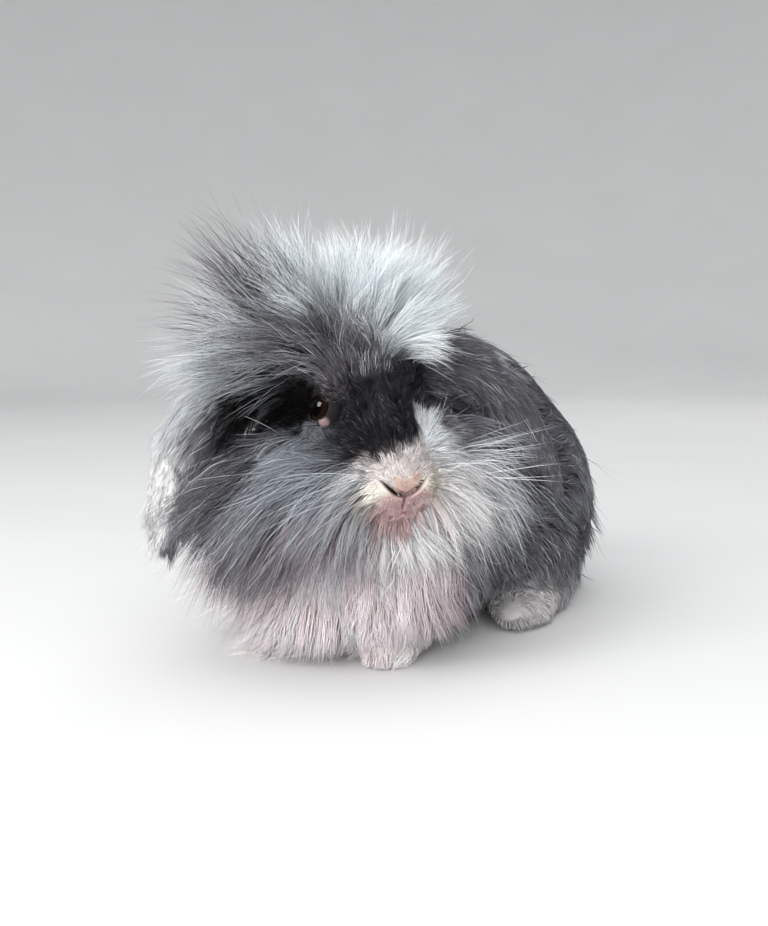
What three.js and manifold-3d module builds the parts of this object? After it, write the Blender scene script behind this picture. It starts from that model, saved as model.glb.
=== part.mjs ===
// A lop-eared lionhead rabbit crouched at rest, life size, with its head turned to its left.
// Millimetres, +Z up. The body lies along Y, the chest towards -Y, and the rabbit's left is +X.

import * as THREE from "three";
import { mergeVertices } from "three/addons/utils/BufferGeometryUtils.js";
import Module from "manifold-3d";

const wasm = await Module();
wasm.setup();
const { clamp, degToRad, lerp, smoothstep } = THREE.MathUtils;
const UP = new THREE.Vector3(0, 0, 1);

// Driving dimensions of the animal, over its short coat.
const BODY_LENGTH = 224;
const BODY_HALF_WIDTH = 76;
const BACK_HEIGHT = 150;
const HEAD_LENGTH = 80;
const HEAD_CENTRE = new THREE.Vector3(18, -96, 112);
const HEAD_TURN = degToRad(46);
const HEAD_ROLL = degToRad(-6);
const EYE_RADIUS = 8.2;
const EAR_WIDTH = 40;
const EAR_THICKNESS = 5;
const PAW_WIDTH = 20;
const FOOT_WIDTH = 24;
const LEG_HEIGHT = 16;

// Lengths of the long coat.
const CREST_LENGTH = 42;
const CHEEK_LENGTH = 54;
const RUFF_LENGTH = 46;
const BIB_LENGTH = 44;
const FLANK_LENGTH = 40;
const EAR_FRINGE_LENGTH = 30;
const TAIL_LENGTH = 24;

// The gap that two touching parts keep, and the least height of a hanging lock over the floor.
const GAP = 0.3;
const LOCK_FLOOR = 3;

// The head's own frame: its origin is the middle of the skull and the face looks towards -Y.
const headFrame = new THREE.Matrix4()
  .makeTranslation(HEAD_CENTRE)
  .multiply(new THREE.Matrix4().makeRotationZ(HEAD_TURN))
  .multiply(new THREE.Matrix4().makeRotationY(HEAD_ROLL));
const headInverse = headFrame.clone().invert();
const at = (frame, x, y, z) => new THREE.Vector3(x, y, z).applyMatrix4(frame);
const towards = (frame, x, y, z) => new THREE.Vector3(x, y, z).transformDirection(frame);

// A seeded source of numbers from 0 to 1.
function randomFrom(seed) {
  let state = seed;
  return () => {
    state = (state * 1664525 + 1013904223) % 4294967296;
    return state / 4294967296;
  };
}

// The region that a form is laid out in: its frame, and the size that 1 stands for each way.
const inHead = { frame: headFrame, unit: [HEAD_LENGTH, HEAD_LENGTH, HEAD_LENGTH] };
const inBody = {
  frame: new THREE.Matrix4(),
  unit: [BODY_HALF_WIDTH, BODY_LENGTH, BACK_HEIGHT],
};

// One rounded mass of a form: its middle, its half sizes and its tilt about X.
function mass({ frame, unit }, middle, halfSize, tilt = 0) {
  const spot = middle.map((share, axis) => share * unit[axis]);
  const place = frame
    .clone()
    .multiply(new THREE.Matrix4().makeTranslation(...spot))
    .multiply(new THREE.Matrix4().makeRotationX(tilt));
  return { toLocal: place.invert(), size: halfSize.map((share, axis) => share * unit[axis]) };
}

// How far a point lies outside the masses of a form, which melt into each other.
function distanceTo(form, point) {
  let sum = 0;
  const p = new THREE.Vector3();
  for (const { toLocal, size } of form.masses) {
    p.copy(point).applyMatrix4(toLocal);
    const once = Math.hypot(p.x / size[0], p.y / size[1], p.z / size[2]);
    const twice = Math.hypot(p.x / size[0] ** 2, p.y / size[1] ** 2, p.z / size[2] ** 2);
    const far = twice < 1e-9 ? -Math.min(...size) : (once * (once - 1)) / twice;
    sum += Math.exp(-far / form.blend);
  }
  return -form.blend * Math.log(sum);
}

// The point where a ray from the form's middle leaves it.
function surfacePoint(form, direction, grow = 0) {
  const REACH = 250;
  const STEPS = 24;
  let inside = 0;
  let outside = REACH;
  const p = new THREE.Vector3();
  for (let step = 0; step < STEPS; step++) {
    const t = (inside + outside) / 2;
    p.copy(form.middle).addScaledVector(direction, t);
    if (distanceTo(form, p) < grow) inside = t;
    else outside = t;
  }
  return form.middle.clone().addScaledVector(direction, inside);
}

// The outward normal of a form at a point near its surface.
function normalAt(form, point) {
  const STEP = 0.5;
  const axes = [new THREE.Vector3(1, 0, 0), new THREE.Vector3(0, 1, 0), UP];
  const slopes = axes.map((axis) => {
    const ahead = point.clone().addScaledVector(axis, STEP);
    const behind = point.clone().addScaledVector(axis, -STEP);
    return distanceTo(form, ahead) - distanceTo(form, behind);
  });
  return new THREE.Vector3(...slopes).normalize();
}

// A closed mesh as a solid that can be joined and cut.
function solidFrom(geometry) {
  const bare = geometry.clone();
  bare.deleteAttribute("normal");
  bare.deleteAttribute("uv");
  const merged = mergeVertices(bare, 1e-4);
  return new wasm.Manifold(
    new wasm.Mesh({
      numProp: 3,
      vertProperties: merged.attributes.position.array,
      triVerts: new Uint32Array(merged.index.array),
    }),
  );
}

const union = (solids) => wasm.Manifold.union(solids);

// Only the largest closed surface of a solid, so that no scrap and no sealed hollow is left.
function largest(solid) {
  const pieces = solid.decompose();
  return pieces.reduce((best, piece) => (piece.volume() > best.volume() ? piece : best));
}

// The skin of a form: a ball whose points lie closest round its focus, moved out to its surface.
function formSolid(form, grow = 0) {
  const ball = new THREE.IcosahedronGeometry(1, form.detail);
  const points = ball.attributes.position;
  const direction = new THREE.Vector3();
  for (let i = 0; i < points.count; i++) {
    direction.fromBufferAttribute(points, i).multiply(form.reach).add(form.focus).normalize();
    points.setXYZ(i, ...surfacePoint(form, direction, grow));
  }
  return solidFrom(ball);
}

// A limb, ear, lock or slit drawn along a path, flattened across the given outward direction.
// A grown one is thicker by the same amount all round and also reaches past both its ends.
function sweep({ path, outward, sides, rows, width, depth, cup = () => 0, grow = 0 }) {
  const START_REACH = 2;
  const TIP_REACH = 8;
  const extra = grow > 0 ? 1 : 0;
  const shape = new THREE.ConeGeometry(1, 1, sides, rows + 2 * extra);
  const points = shape.attributes.position;
  const curve = new THREE.CatmullRomCurve3(path);
  const along = new THREE.Vector3();
  const across = new THREE.Vector3();
  const out = new THREE.Vector3();
  for (let i = 0; i < points.count; i++) {
    const row = (points.getY(i) + 0.5) * (rows + 2 * extra) - extra;
    const t = clamp(row / rows, 0, 1);
    const past = Math.max(0, row - rows) * TIP_REACH + Math.min(0, row) * START_REACH;
    const angle = Math.atan2(points.getX(i), points.getZ(i));
    const rim = Math.hypot(points.getX(i), points.getZ(i)) > 1e-6 ? 1 : 0;
    curve.getTangent(t, along);
    across.crossVectors(along, outward).normalize();
    out.crossVectors(across, along).normalize();
    const side = Math.sin(angle) * rim;
    const lean = angle + Math.atan2(4 * cup(t) * side, Math.max(1, width(t)));
    const p = curve
      .getPoint(t)
      .addScaledVector(along, past * grow)
      .addScaledVector(across, (side * width(t)) / 2 + Math.sin(lean) * rim * grow)
      .addScaledVector(out, (Math.cos(angle) * rim * depth(t)) / 2 - cup(t) * side * side)
      .addScaledVector(out, Math.cos(lean) * rim * grow);
    points.setXYZ(i, p.x, p.y, p.z);
  }
  return solidFrom(shape);
}

// A width that starts at one share of full, swells and closes in a round end.
const roundEnd = (full, start) => (t) =>
  full * (start + (1 - start) * Math.min(1, t * 2.2)) * Math.sqrt(Math.max(0, 1 - t ** 5));

// One flat, tapered lock of hair: narrow at its root, widest a third of the way, then pointed.
function lock({ path, outward, width }, grow) {
  const THICKNESS = 0.18;
  const taper = (t) => Math.min(1.2, 0.45 + 2.6 * t) * (1 - t) ** 0.6;
  return sweep({
    path,
    outward,
    sides: 4,
    rows: 3,
    width: (t) => width * taper(t),
    depth: (t) => THICKNESS * width * taper(t),
    grow,
  });
}

// A point moved out of every given form until it lies at least so far from them.
function pushedClear(point, forms, clearance) {
  const moved = point.clone();
  for (const form of [...forms, ...forms]) {
    const short = clearance - distanceTo(form, moved);
    if (short > 0) moved.addScaledVector(normalAt(form, moved), short);
  }
  moved.z = Math.max(moved.z, LOCK_FLOOR);
  return moved;
}

// The path of a lock: along its lie, lifted off the skin, its tip curling sideways and sagging.
function lockPath({ root, normal, lie, length, lift, sag, curl, clearOf, rise }) {
  const ROOT_DEPTH = 4;
  const FIRST = 0.35;
  const SECOND = 0.7;
  const sideways = new THREE.Vector3().crossVectors(lie, normal).normalize();
  const point = (share) => {
    const p = root
      .clone()
      .addScaledVector(lie, length * share)
      .addScaledVector(normal, length * lift * share)
      .addScaledVector(sideways, curl * length * share * share)
      .addScaledVector(UP, -sag * length * share * share);
    return pushedClear(p, clearOf, rise * Math.min(1, 2.2 * share));
  };
  const inside = root.clone().addScaledVector(normal, -ROOT_DEPTH);
  return [inside, point(FIRST), point(SECOND), point(1)];
}

// The way a lock's flat side faces: as the skin does, or forwards where it stands straight out.
const FORWARDS = towards(headFrame, 0, -1, 0.2);
function flatSide(lie, normal) {
  const facing = normal.clone().addScaledVector(FORWARDS, 0.6);
  return facing.addScaledVector(lie, -facing.dot(lie)).normalize();
}

// Locks spread evenly over a form, each as the zone's rule says, or none where it gives none.
function locksOn(form, { count, seed, rule, clearOf }) {
  const random = randomFrom(seed);
  const GOLDEN = Math.PI * (3 - Math.sqrt(5));
  const found = [];
  for (let i = 0; i < count; i++) {
    const z = 1 - (2 * (i + 0.5)) / count;
    const ring = Math.sqrt(1 - z * z);
    const direction = new THREE.Vector3(
      ring * Math.cos(i * GOLDEN),
      ring * Math.sin(i * GOLDEN),
      z,
    );
    direction.multiply(form.reach).normalize();
    const root = surfacePoint(form, direction);
    const normal = normalAt(form, root);
    const buried = clearOf.some((other) => other !== form && distanceTo(other, root) < 1);
    const spec = buried ? null : rule(root, normal);
    if (!spec) continue;
    const jitter = new THREE.Vector3(random() - 0.5, random() - 0.5, random() - 0.5);
    const lie = spec.lie.clone().normalize().addScaledVector(jitter, 0.3).normalize();
    const length = spec.length * lerp(0.85, 1.15, random());
    const curl = lerp(-0.3, 0.3, random());
    const path = lockPath({ ...spec, root, normal, lie, length, curl, clearOf });
    const outward = flatSide(lie, normal);
    found.push({ path, outward, width: spec.width * lerp(0.9, 1.1, random()) });
  }
  return found;
}

// Torso: chest, ribs, loin, rump and belly.
const torso = {
  masses: [
    mass(inBody, [0, -0.214, 0.41], [0.6, 0.18, 0.34]),
    mass(inBody, [0, 0, 0.47], [0.7, 0.25, 0.38]),
    mass(inBody, [0, 0.22, 0.5], [0.76, 0.26, 0.43]),
    mass(inBody, [0, 0.37, 0.41], [0.66, 0.18, 0.36]),
    mass(inBody, [0, 0.09, 0.25], [0.66, 0.36, 0.27]),
  ],
  blend: 6,
  middle: new THREE.Vector3(0, 20, 57),
  reach: new THREE.Vector3(0.8, 1.4, 0.9),
  focus: new THREE.Vector3(),
  detail: 6,
};

// Thigh folded at the side of the loin.
const thigh = (side) => ({
  masses: [
    mass(inBody, [side * 0.6, 0.25, 0.34], [0.38, 0.22, 0.32]),
    mass(inBody, [side * 0.68, 0.12, 0.24], [0.27, 0.12, 0.2]),
  ],
  blend: 5,
  middle: new THREE.Vector3(side * 43, 49, 41),
  reach: new THREE.Vector3(0.8, 1.2, 1),
  focus: new THREE.Vector3(),
  detail: 3,
});
const thighs = { left: thigh(1), right: thigh(-1) };

const tail = {
  masses: [
    mass(inBody, [0, 0.55, 0.38], [0.18, 0.055, 0.13]),
    mass(inBody, [0, 0.58, 0.46], [0.15, 0.045, 0.12]),
  ],
  blend: 4,
  middle: new THREE.Vector3(0, 126, 62),
  reach: new THREE.Vector3(1, 0.9, 1.4),
  focus: new THREE.Vector3(),
  detail: 2,
};

// Neck, with the half of the ruff and bib that is too dense to part.
const neck = {
  masses: [
    mass(inBody, [0.055, -0.277, 0.57], [0.59, 0.143, 0.285]),
    mass(inBody, [0.111, -0.348, 0.31], [0.59, 0.143, 0.258]),
  ],
  blend: 6,
  middle: new THREE.Vector3(8, -68, 72),
  reach: new THREE.Vector3(1, 0.8, 1.1),
  focus: new THREE.Vector3(),
  detail: 4,
};

// Head: skull, bridge, muzzle, nose, jaws, lips, chin, brows, and the dense half of the long hair.
const bothSides = (make) => [make(1), make(-1)];
const head = {
  masses: [
    mass(inHead, [0, 0.1, 0.04], [0.34, 0.36, 0.29]),
    mass(inHead, [0, -0.19, -0.06], [0.18, 0.32, 0.2], 0.55),
    mass(inHead, [0, -0.3, -0.26], [0.19, 0.19, 0.16]),
    mass(inHead, [0, -0.46, -0.27], [0.09, 0.07, 0.07]),
    ...bothSides((side) => mass(inHead, [side * 0.2, -0.06, -0.2], [0.17, 0.26, 0.22])),
    ...bothSides((side) => mass(inHead, [side * 0.1, -0.39, -0.33], [0.12, 0.12, 0.11])),
    mass(inHead, [0, -0.34, -0.46], [0.1, 0.1, 0.08]),
    ...bothSides((side) => mass(inHead, [side * 0.2, -0.08, 0.18], [0.1, 0.16, 0.08])),
    mass(inHead, [-0.03, 0.16, 0.32], [0.38, 0.28, 0.26]),
    ...bothSides((side) => mass(inHead, [side * 0.4, 0.1, -0.26], [0.26, 0.22, 0.28])),
  ],
  blend: 2.5,
  middle: at(headFrame, 0, -5, -5),
  reach: new THREE.Vector3(1, 1, 1),
  focus: towards(headFrame, 0, -0.9, -0.4).multiplyScalar(0.38),
  detail: 7,
};

// Eyes, set half into the skull and looking sideways and a little forward.
const EYE_SPOT = [0.22 * HEAD_LENGTH, -0.1 * HEAD_LENGTH, 0.06 * HEAD_LENGTH];
const eyeAxis = (side) => towards(headFrame, side * 0.93, -0.34, 0.12);
const eyeMiddle = (side) => at(headFrame, side * EYE_SPOT[0], EYE_SPOT[1], EYE_SPOT[2]);
function eyeSolid(side, grow = 0) {
  const ball = new THREE.IcosahedronGeometry(EYE_RADIUS + grow, 2);
  ball.translate(...eyeMiddle(side));
  return solidFrom(ball);
}

// The rim of both lids, an oval ring that hugs the eyeball.
function lidSolid(side) {
  const RIM = 1.7;
  const OPEN_LENGTH = 7.4;
  const OPEN_HEIGHT = 6.2;
  const FORWARD = 3.9;
  const ring = new THREE.TorusGeometry(1, RIM / OPEN_LENGTH, 6, 16);
  ring.scale(OPEN_LENGTH, OPEN_HEIGHT, OPEN_LENGTH);
  const axis = eyeAxis(side);
  const lengthwise = new THREE.Vector3().crossVectors(UP, axis).normalize();
  const upwards = new THREE.Vector3().crossVectors(axis, lengthwise);
  ring.applyMatrix4(new THREE.Matrix4().makeBasis(lengthwise, upwards, axis));
  ring.translate(...eyeMiddle(side).addScaledVector(axis, FORWARD));
  return solidFrom(ring);
}

// A slit in the face, through points given from the tip of the nose.
const NOSE_TIP = [0, -0.545 * HEAD_LENGTH, -0.27 * HEAD_LENGTH];
function slit(points, wide, deep) {
  const narrowing = (t) => Math.sqrt(Math.max(0, 1 - t ** 3));
  return sweep({
    path: points.map(([x, y, z]) => at(headFrame, x, NOSE_TIP[1] + y, NOSE_TIP[2] + z)),
    outward: towards(headFrame, 0, -1, -0.15),
    sides: 6,
    rows: 4,
    width: (t) => wide * narrowing(t),
    depth: (t) => deep * narrowing(t),
  });
}
const nostril = (side) =>
  slit([[side * 1.2, -1.2, -2.6], [side * 4.8, 0.6, -0.4], [side * 9.2, 4.5, 3.6]], 1.8, 6);
const lipSplit = slit([[0, 0, -1.5], [0, 1.2, -6], [0, 4, -12]], 1.2, 5);
const mouthLine = (side) =>
  slit([[-side * 0.5, 3.2, -11], [side * 5.6, 6, -11.5], [side * 11.2, 13, -10]], 1.3, 5);
const faceSlits = union([...bothSides(nostril), lipSplit, ...bothSides(mouthLine)]);

// Ears, lopped: out of the crown, over, and down at the side of the mane.
const earPaths = {
  right: [[-13, 13, 12], [-40, 28, 21], [-66, 44, -8], [-81, 55, -60]],
  left: [[13, 13, 12], [58, 16, 19], [88, 19, -10], [103, 18, -52]],
};
const earOutward = {
  right: towards(headFrame, -0.72, -0.5, 0.45),
  left: towards(headFrame, 0.6, -0.6, 0.5),
};
const earPoints = (name) => earPaths[name].map((p) => at(headFrame, ...p));
const earWidth = roundEnd(EAR_WIDTH, 0.5);
const EAR_CUP = 9;
const earCup = (t) => EAR_CUP * (1 - 0.6 * t) * Math.sin(Math.PI * Math.min(1, t + 0.12));
const earSolid = (name, grow = 0) =>
  sweep({
    path: earPoints(name),
    outward: earOutward[name],
    sides: 12,
    rows: 9,
    width: earWidth,
    depth: roundEnd(EAR_THICKNESS, 1.3),
    cup: earCup,
    grow,
  });

// The fringe that hangs from both edges of an ear, turning downwards towards its tip.
function earFringe(name, seed) {
  const PER_EDGE = 5;
  const INSET = 0.4;
  const ROOT_DEPTH = 5;
  const LOCK_WIDTH = 11;
  const random = randomFrom(seed);
  const curve = new THREE.CatmullRomCurve3(earPoints(name));
  const found = [];
  for (const edge of [-1, 1]) {
    for (let i = 0; i < PER_EDGE; i++) {
      const t = lerp(0.25, 0.92, i / (PER_EDGE - 1));
      const along = curve.getTangent(t);
      const across = new THREE.Vector3().crossVectors(along, earOutward[name]).normalize();
      const out = new THREE.Vector3().crossVectors(across, along).normalize();
      const root = curve
        .getPoint(t)
        .addScaledVector(across, edge * INSET * earWidth(t))
        .addScaledVector(out, -earCup(t) * (2 * INSET) ** 2);
      const lie = along
        .clone()
        .multiplyScalar(lerp(0.8, 1, t))
        .addScaledVector(across, edge * lerp(0.6, 0.2, t))
        .normalize();
      const length = EAR_FRINGE_LENGTH * lerp(0.8, 1.15, random());
      const bent = (share) =>
        root
          .clone()
          .addScaledVector(lie, length * share)
          .addScaledVector(UP, -0.25 * length * share * share);
      const inside = root.clone().addScaledVector(lie, -ROOT_DEPTH);
      found.push({ path: [inside, bent(0.33), bent(0.66), bent(1)], outward: out, width: LOCK_WIDTH });
    }
  }
  return found;
}

// A leg that lies on the floor, with four toes side by side at its end.
function legSolid({ path, wide, toeLength, grow = 0 }) {
  const TOES = 4;
  const leg = sweep({
    path: path.map((p) => new THREE.Vector3(...p)),
    outward: UP,
    sides: 10,
    rows: 5,
    width: roundEnd(wide, 0.6),
    depth: roundEnd(LEG_HEIGHT, 0.7),
    grow,
  });
  const end = new THREE.Vector3(...path.at(-1));
  const before = new THREE.Vector3(...path.at(-2));
  const forward = end.clone().sub(before).setZ(0).normalize();
  const sideways = new THREE.Vector3().crossVectors(UP, forward);
  const toes = [...Array(TOES).keys()].map((i) => {
    const across = (i - (TOES - 1) / 2) / (TOES - 1);
    const toe = new THREE.IcosahedronGeometry(1, 1);
    toe.scale(wide * 0.17 + grow, toeLength / 2 + grow, LEG_HEIGHT * 0.42 + grow);
    toe.rotateZ(Math.atan2(forward.y, forward.x) - Math.PI / 2);
    const spot = end
      .clone()
      .addScaledVector(forward, -toeLength * (0.35 + 0.5 * across * across))
      .addScaledVector(sideways, across * wide * 0.74);
    toe.translate(spot.x, spot.y, LEG_HEIGHT * 0.4);
    return solidFrom(toe);
  });
  return union([leg, ...toes]);
}

const foreleg = (side, grow) => {
  const path = [[side * 30, -40, 18], [side * 27, -66, 11], [side * 24, -92, 8]];
  return legSolid({ path, wide: PAW_WIDTH, toeLength: 15, grow });
};
const hindFoot = (side, grow) => {
  const path = [[side * 56, 86, 11], [side * 60, 44, 10], [side * 58, -6, 8]];
  return legSolid({ path, wide: FOOT_WIDTH, toeLength: 20, grow });
};

// Where the long hair of the head grows, and how it lies there, in the head's own frame.
const zonesOfHead = {
  crest: (p) => {
    if (p.z < 14 || p.y < -18) return null;
    const taller = lerp(1, 1.3, smoothstep(-p.x, 6, 18));
    const shorter = lerp(1, 0.75, smoothstep(-p.y, -6, 14));
    const length = CREST_LENGTH * taller * shorter;
    return { lie: [p.x * 0.035, (p.y - 8) * 0.03, 1], length, width: 21, lift: 0.1, sag: 0.3 };
  },
  temples: (p) => {
    if (Math.abs(p.x) < 17 || p.y < 0 || p.z < 0 || p.z > 14) return null;
    const lie = [Math.sign(p.x), 0.35, -0.1];
    return { lie, length: CREST_LENGTH, width: 18, lift: 0, sag: 0.25 };
  },
  nape: (p) => {
    if (p.y < 22 || p.z < -14 || p.z > 16) return null;
    return { lie: [p.x * 0.04, 0.8, -0.3], length: CREST_LENGTH, width: 24, lift: 0.1, sag: 0.3 };
  },
  cheeks: (p) => {
    if (Math.abs(p.x) < 10 || p.z > 0 || p.y < -33) return null;
    const back = smoothstep(p.y, -33, 0);
    const lie = [Math.sign(p.x) * 0.8, 0.25, lerp(-0.5, -0.75, back)];
    const length = CHEEK_LENGTH * lerp(0.5, 1, back);
    return { lie, length, width: 21, lift: 0.12, sag: 0.3 };
  },
  jaw: (p) => {
    if (Math.abs(p.x) > 10 || p.z > -26 || p.y < -32) return null;
    return { lie: [p.x * 0.03, 0.2, -1], length: BIB_LENGTH, width: 18, lift: 0.15, sag: 0.1 };
  },
};
const EYE_CLEARANCE = 14;
const LOOSE_OVER_NECK = 12;
const headRule = (zone) => (root) => {
  const p = root.clone().applyMatrix4(headInverse);
  const toEye = Math.hypot(Math.abs(p.x) - EYE_SPOT[0], p.y - EYE_SPOT[1], p.z - EYE_SPOT[2]);
  const spec = toEye < EYE_CLEARANCE ? null : zone(p);
  return spec && { ...spec, lie: towards(headFrame, ...spec.lie), rise: LOOSE_OVER_NECK };
};

// The ruff streams back over the shoulders and the bib hangs to the floor.
function neckRule(root, normal) {
  if (root.z > 116 || root.z < 14) return null;
  const front = smoothstep(-root.y, 66, 92);
  const lie = new THREE.Vector3(normal.x * 0.6, lerp(0.7, -0.15, front), lerp(-0.5, -1, front));
  const length = lerp(RUFF_LENGTH, Math.min(BIB_LENGTH, root.z - 2), front);
  return { lie, length, width: 26, lift: 0, sag: 0.1, rise: 3 };
}

// The body's coat lies backwards and down.
function torsoRule(root, normal) {
  if (root.z < 22 || root.y < -52) return null;
  const back = smoothstep(root.y, 40, 110);
  const lie = new THREE.Vector3(normal.x * 0.3, lerp(1, 0.4, back), -0.45 - 0.5 * back);
  lie.addScaledVector(normal, -lie.dot(normal)).normalize();
  return { lie, length: FLANK_LENGTH, width: 36, lift: 0.06, sag: 0.08, rise: 3 };
}

const thighRule = (side) => (root, normal) => {
  if (normal.x * side < 0.25 || root.z < 20) return null;
  const lie = new THREE.Vector3(0, 0.8, -0.65);
  lie.addScaledVector(normal, -lie.dot(normal)).normalize();
  return { lie, length: FLANK_LENGTH * 0.9, width: 26, lift: 0.08, sag: 0.05, rise: 3 };
};

function tailRule(root, normal) {
  if (normal.y < 0.1) return null;
  const lie = new THREE.Vector3(normal.x * 0.3, 0, 1);
  return { lie, length: TAIL_LENGTH, width: 13, lift: 0.05, sag: 0, rise: 1.5 };
}

// How many points of each form are tried as roots, and from which seed.
const bodyForms = [torso, neck, head, thighs.left, thighs.right];
const onHead = (zone, count, seed) =>
  locksOn(head, { count, seed, rule: headRule(zonesOfHead[zone]), clearOf: bodyForms });
const headLocks = [
  ...onHead("crest", 115, 3),
  ...onHead("temples", 60, 4),
  ...onHead("nape", 50, 6),
  ...onHead("cheeks", 66, 8),
  ...onHead("jaw", 60, 9),
];
const torsoLocks = locksOn(torso, { count: 54, seed: 5, rule: torsoRule, clearOf: bodyForms });
const neckLocks = locksOn(neck, { count: 46, seed: 7, rule: neckRule, clearOf: bodyForms });
const tailLocks = locksOn(tail, { count: 14, seed: 13, rule: tailRule, clearOf: [tail, torso] });
const thighLocks = (name, side, seed) =>
  locksOn(thighs[name], { count: 28, seed, rule: thighRule(side), clearOf: bodyForms });

// Materials, one for each part of the coat's pattern.
const coat = (color, roughness = 0.9) =>
  new THREE.MeshStandardMaterial({ color, roughness, metalness: 0 });
const greyFur = coat(0x5b5c61);
const darkFur = coat(0x3a393c);
const whiteFur = coat(0xe6e2de);
const eyeGloss = coat(0x120d0c, 0.08);

const rabbit = new THREE.Group();
rabbit.name = "lionhead_rabbit";
const headGroup = new THREE.Group();
headGroup.name = "turned_head";
headGroup.applyMatrix4(headFrame);
rabbit.add(headGroup);
rabbit.updateMatrixWorld(true);

// The parts, each cut to fit those before it.
const pair = (make) => [make("left", 1, 11), make("right", -1, 29)];
const parts = [
  ...pair((name, side) => ({
    name: "eye_" + name,
    group: headGroup,
    material: eyeGloss,
    core: (grow) => eyeSolid(side, grow),
    locks: [],
  })),
  {
    name: "head",
    group: headGroup,
    material: darkFur,
    core: (grow) => union([formSolid(head, grow), lidSolid(1), lidSolid(-1)]).subtract(faceSlits),
    locks: headLocks,
  },
  {
    name: "torso",
    group: rabbit,
    material: greyFur,
    core: (grow) => formSolid(torso, grow),
    locks: torsoLocks,
  },
  ...pair((name, side, seed) => ({
    name: "thigh_" + name,
    group: rabbit,
    material: greyFur,
    core: (grow) => formSolid(thighs[name], grow).trimByPlane(UP.toArray(), 4 - grow),
    locks: thighLocks(name, side, seed),
  })),
  ...pair((name, side) => ({
    name: "foreleg_" + name,
    group: rabbit,
    material: whiteFur,
    core: (grow) => foreleg(side, grow),
    locks: [],
  })),
  ...pair((name, side) => ({
    name: "hind_foot_" + name,
    group: rabbit,
    material: whiteFur,
    core: (grow) => hindFoot(side, grow),
    locks: [],
  })),
  ...pair((name, side, seed) => ({
    name: "ear_" + name,
    group: headGroup,
    material: greyFur,
    core: (grow) => earSolid(name, grow),
    locks: earFringe(name, seed),
  })),
  {
    name: "neck",
    group: rabbit,
    material: whiteFur,
    core: (grow) => formSolid(neck, grow).trimByPlane(UP.toArray(), 1 - grow),
    locks: neckLocks,
  },
  {
    name: "tail",
    group: rabbit,
    material: greyFur,
    core: (grow) => formSolid(tail, grow),
    locks: tailLocks,
  },
];

// Puts a solid into a group as one named part, in that group's own frame.
function add(group, name, solid, material) {
  const { vertProperties, triVerts } = solid.getMesh();
  const geometry = new THREE.BufferGeometry();
  geometry.setAttribute("position", new THREE.BufferAttribute(vertProperties, 3));
  geometry.setIndex(new THREE.BufferAttribute(triVerts, 1));
  geometry.applyMatrix4(group.matrixWorld.clone().invert());
  geometry.computeVertexNormals();
  const mesh = new THREE.Mesh(geometry, material);
  mesh.name = name;
  group.add(mesh);
}

// Every core is cut clear of earlier cores, and every lock of all other cores and earlier locks.
const SMOOTHING = 0.06;
const lockUnion = (part, grow) => union(part.locks.map((spec) => lock(spec, grow)));
const coresWithGap = parts.map((part) => part.core(GAP));
const locksWithGap = parts.map((part) => lockUnion(part, GAP));
parts.forEach((part, i) => {
  const core = part.core(0).subtract(union(coresWithGap.slice(0, i)));
  const hair = lockUnion(part, 0)
    .subtract(union(coresWithGap.filter((_, j) => j !== i)))
    .subtract(union(locksWithGap.slice(0, i)));
  const whole = union([core, hair]).trimByPlane(UP.toArray(), 0).simplify(SMOOTHING);
  add(part.group, part.name, largest(whole), part.material);
});

// The origin goes to the middle of the rabbit's outline on the floor.
const outline = new THREE.Box3().setFromObject(rabbit, true);
const middle = outline.getCenter(new THREE.Vector3());
rabbit.position.set(-middle.x, -middle.y, -outline.min.z);
rabbit.updateMatrixWorld(true);

export default rabbit;
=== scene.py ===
"""A lop-eared lionhead rabbit at rest, life size: its skin, eyes, claws, whiskers and coat."""
import math

import bpy
import numpy as np
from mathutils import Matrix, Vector, kdtree


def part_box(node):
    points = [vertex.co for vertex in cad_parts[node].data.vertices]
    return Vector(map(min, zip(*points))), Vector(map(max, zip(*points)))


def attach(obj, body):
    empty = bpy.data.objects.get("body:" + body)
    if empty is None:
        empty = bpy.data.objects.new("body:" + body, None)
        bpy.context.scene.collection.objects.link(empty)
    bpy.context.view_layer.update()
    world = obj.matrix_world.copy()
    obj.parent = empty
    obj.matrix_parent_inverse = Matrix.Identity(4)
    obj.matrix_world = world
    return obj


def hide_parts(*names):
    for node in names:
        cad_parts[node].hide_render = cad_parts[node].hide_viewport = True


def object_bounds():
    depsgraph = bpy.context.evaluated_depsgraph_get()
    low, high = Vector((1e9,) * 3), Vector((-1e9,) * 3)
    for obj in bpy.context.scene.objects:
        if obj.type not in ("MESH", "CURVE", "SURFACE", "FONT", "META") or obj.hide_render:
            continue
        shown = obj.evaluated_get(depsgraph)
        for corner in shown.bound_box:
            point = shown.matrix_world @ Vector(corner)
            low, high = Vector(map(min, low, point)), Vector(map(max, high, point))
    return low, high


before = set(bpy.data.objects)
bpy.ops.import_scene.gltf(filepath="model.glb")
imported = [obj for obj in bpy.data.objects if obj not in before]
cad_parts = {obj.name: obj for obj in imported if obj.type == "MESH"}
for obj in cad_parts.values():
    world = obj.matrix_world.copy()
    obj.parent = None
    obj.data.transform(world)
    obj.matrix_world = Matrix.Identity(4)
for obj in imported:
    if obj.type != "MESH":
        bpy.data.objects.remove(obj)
cad_low, cad_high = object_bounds()
bpy.ops.object.select_all(action="DESELECT")

MM = 0.001
UP = np.array([0.0, 0.0, 1.0])


def unit(vectors):
    """Vectors of length 1."""
    vectors = np.asarray(vectors, float)
    return vectors / np.maximum(np.linalg.norm(vectors, axis=-1, keepdims=True), 1e-12)


def lerp(a, b, share):
    return a + (b - a) * share


def smoothstep(value, low, high):
    share = np.clip((value - low) / (high - low), 0, 1)
    return share * share * (3 - 2 * share)


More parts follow.
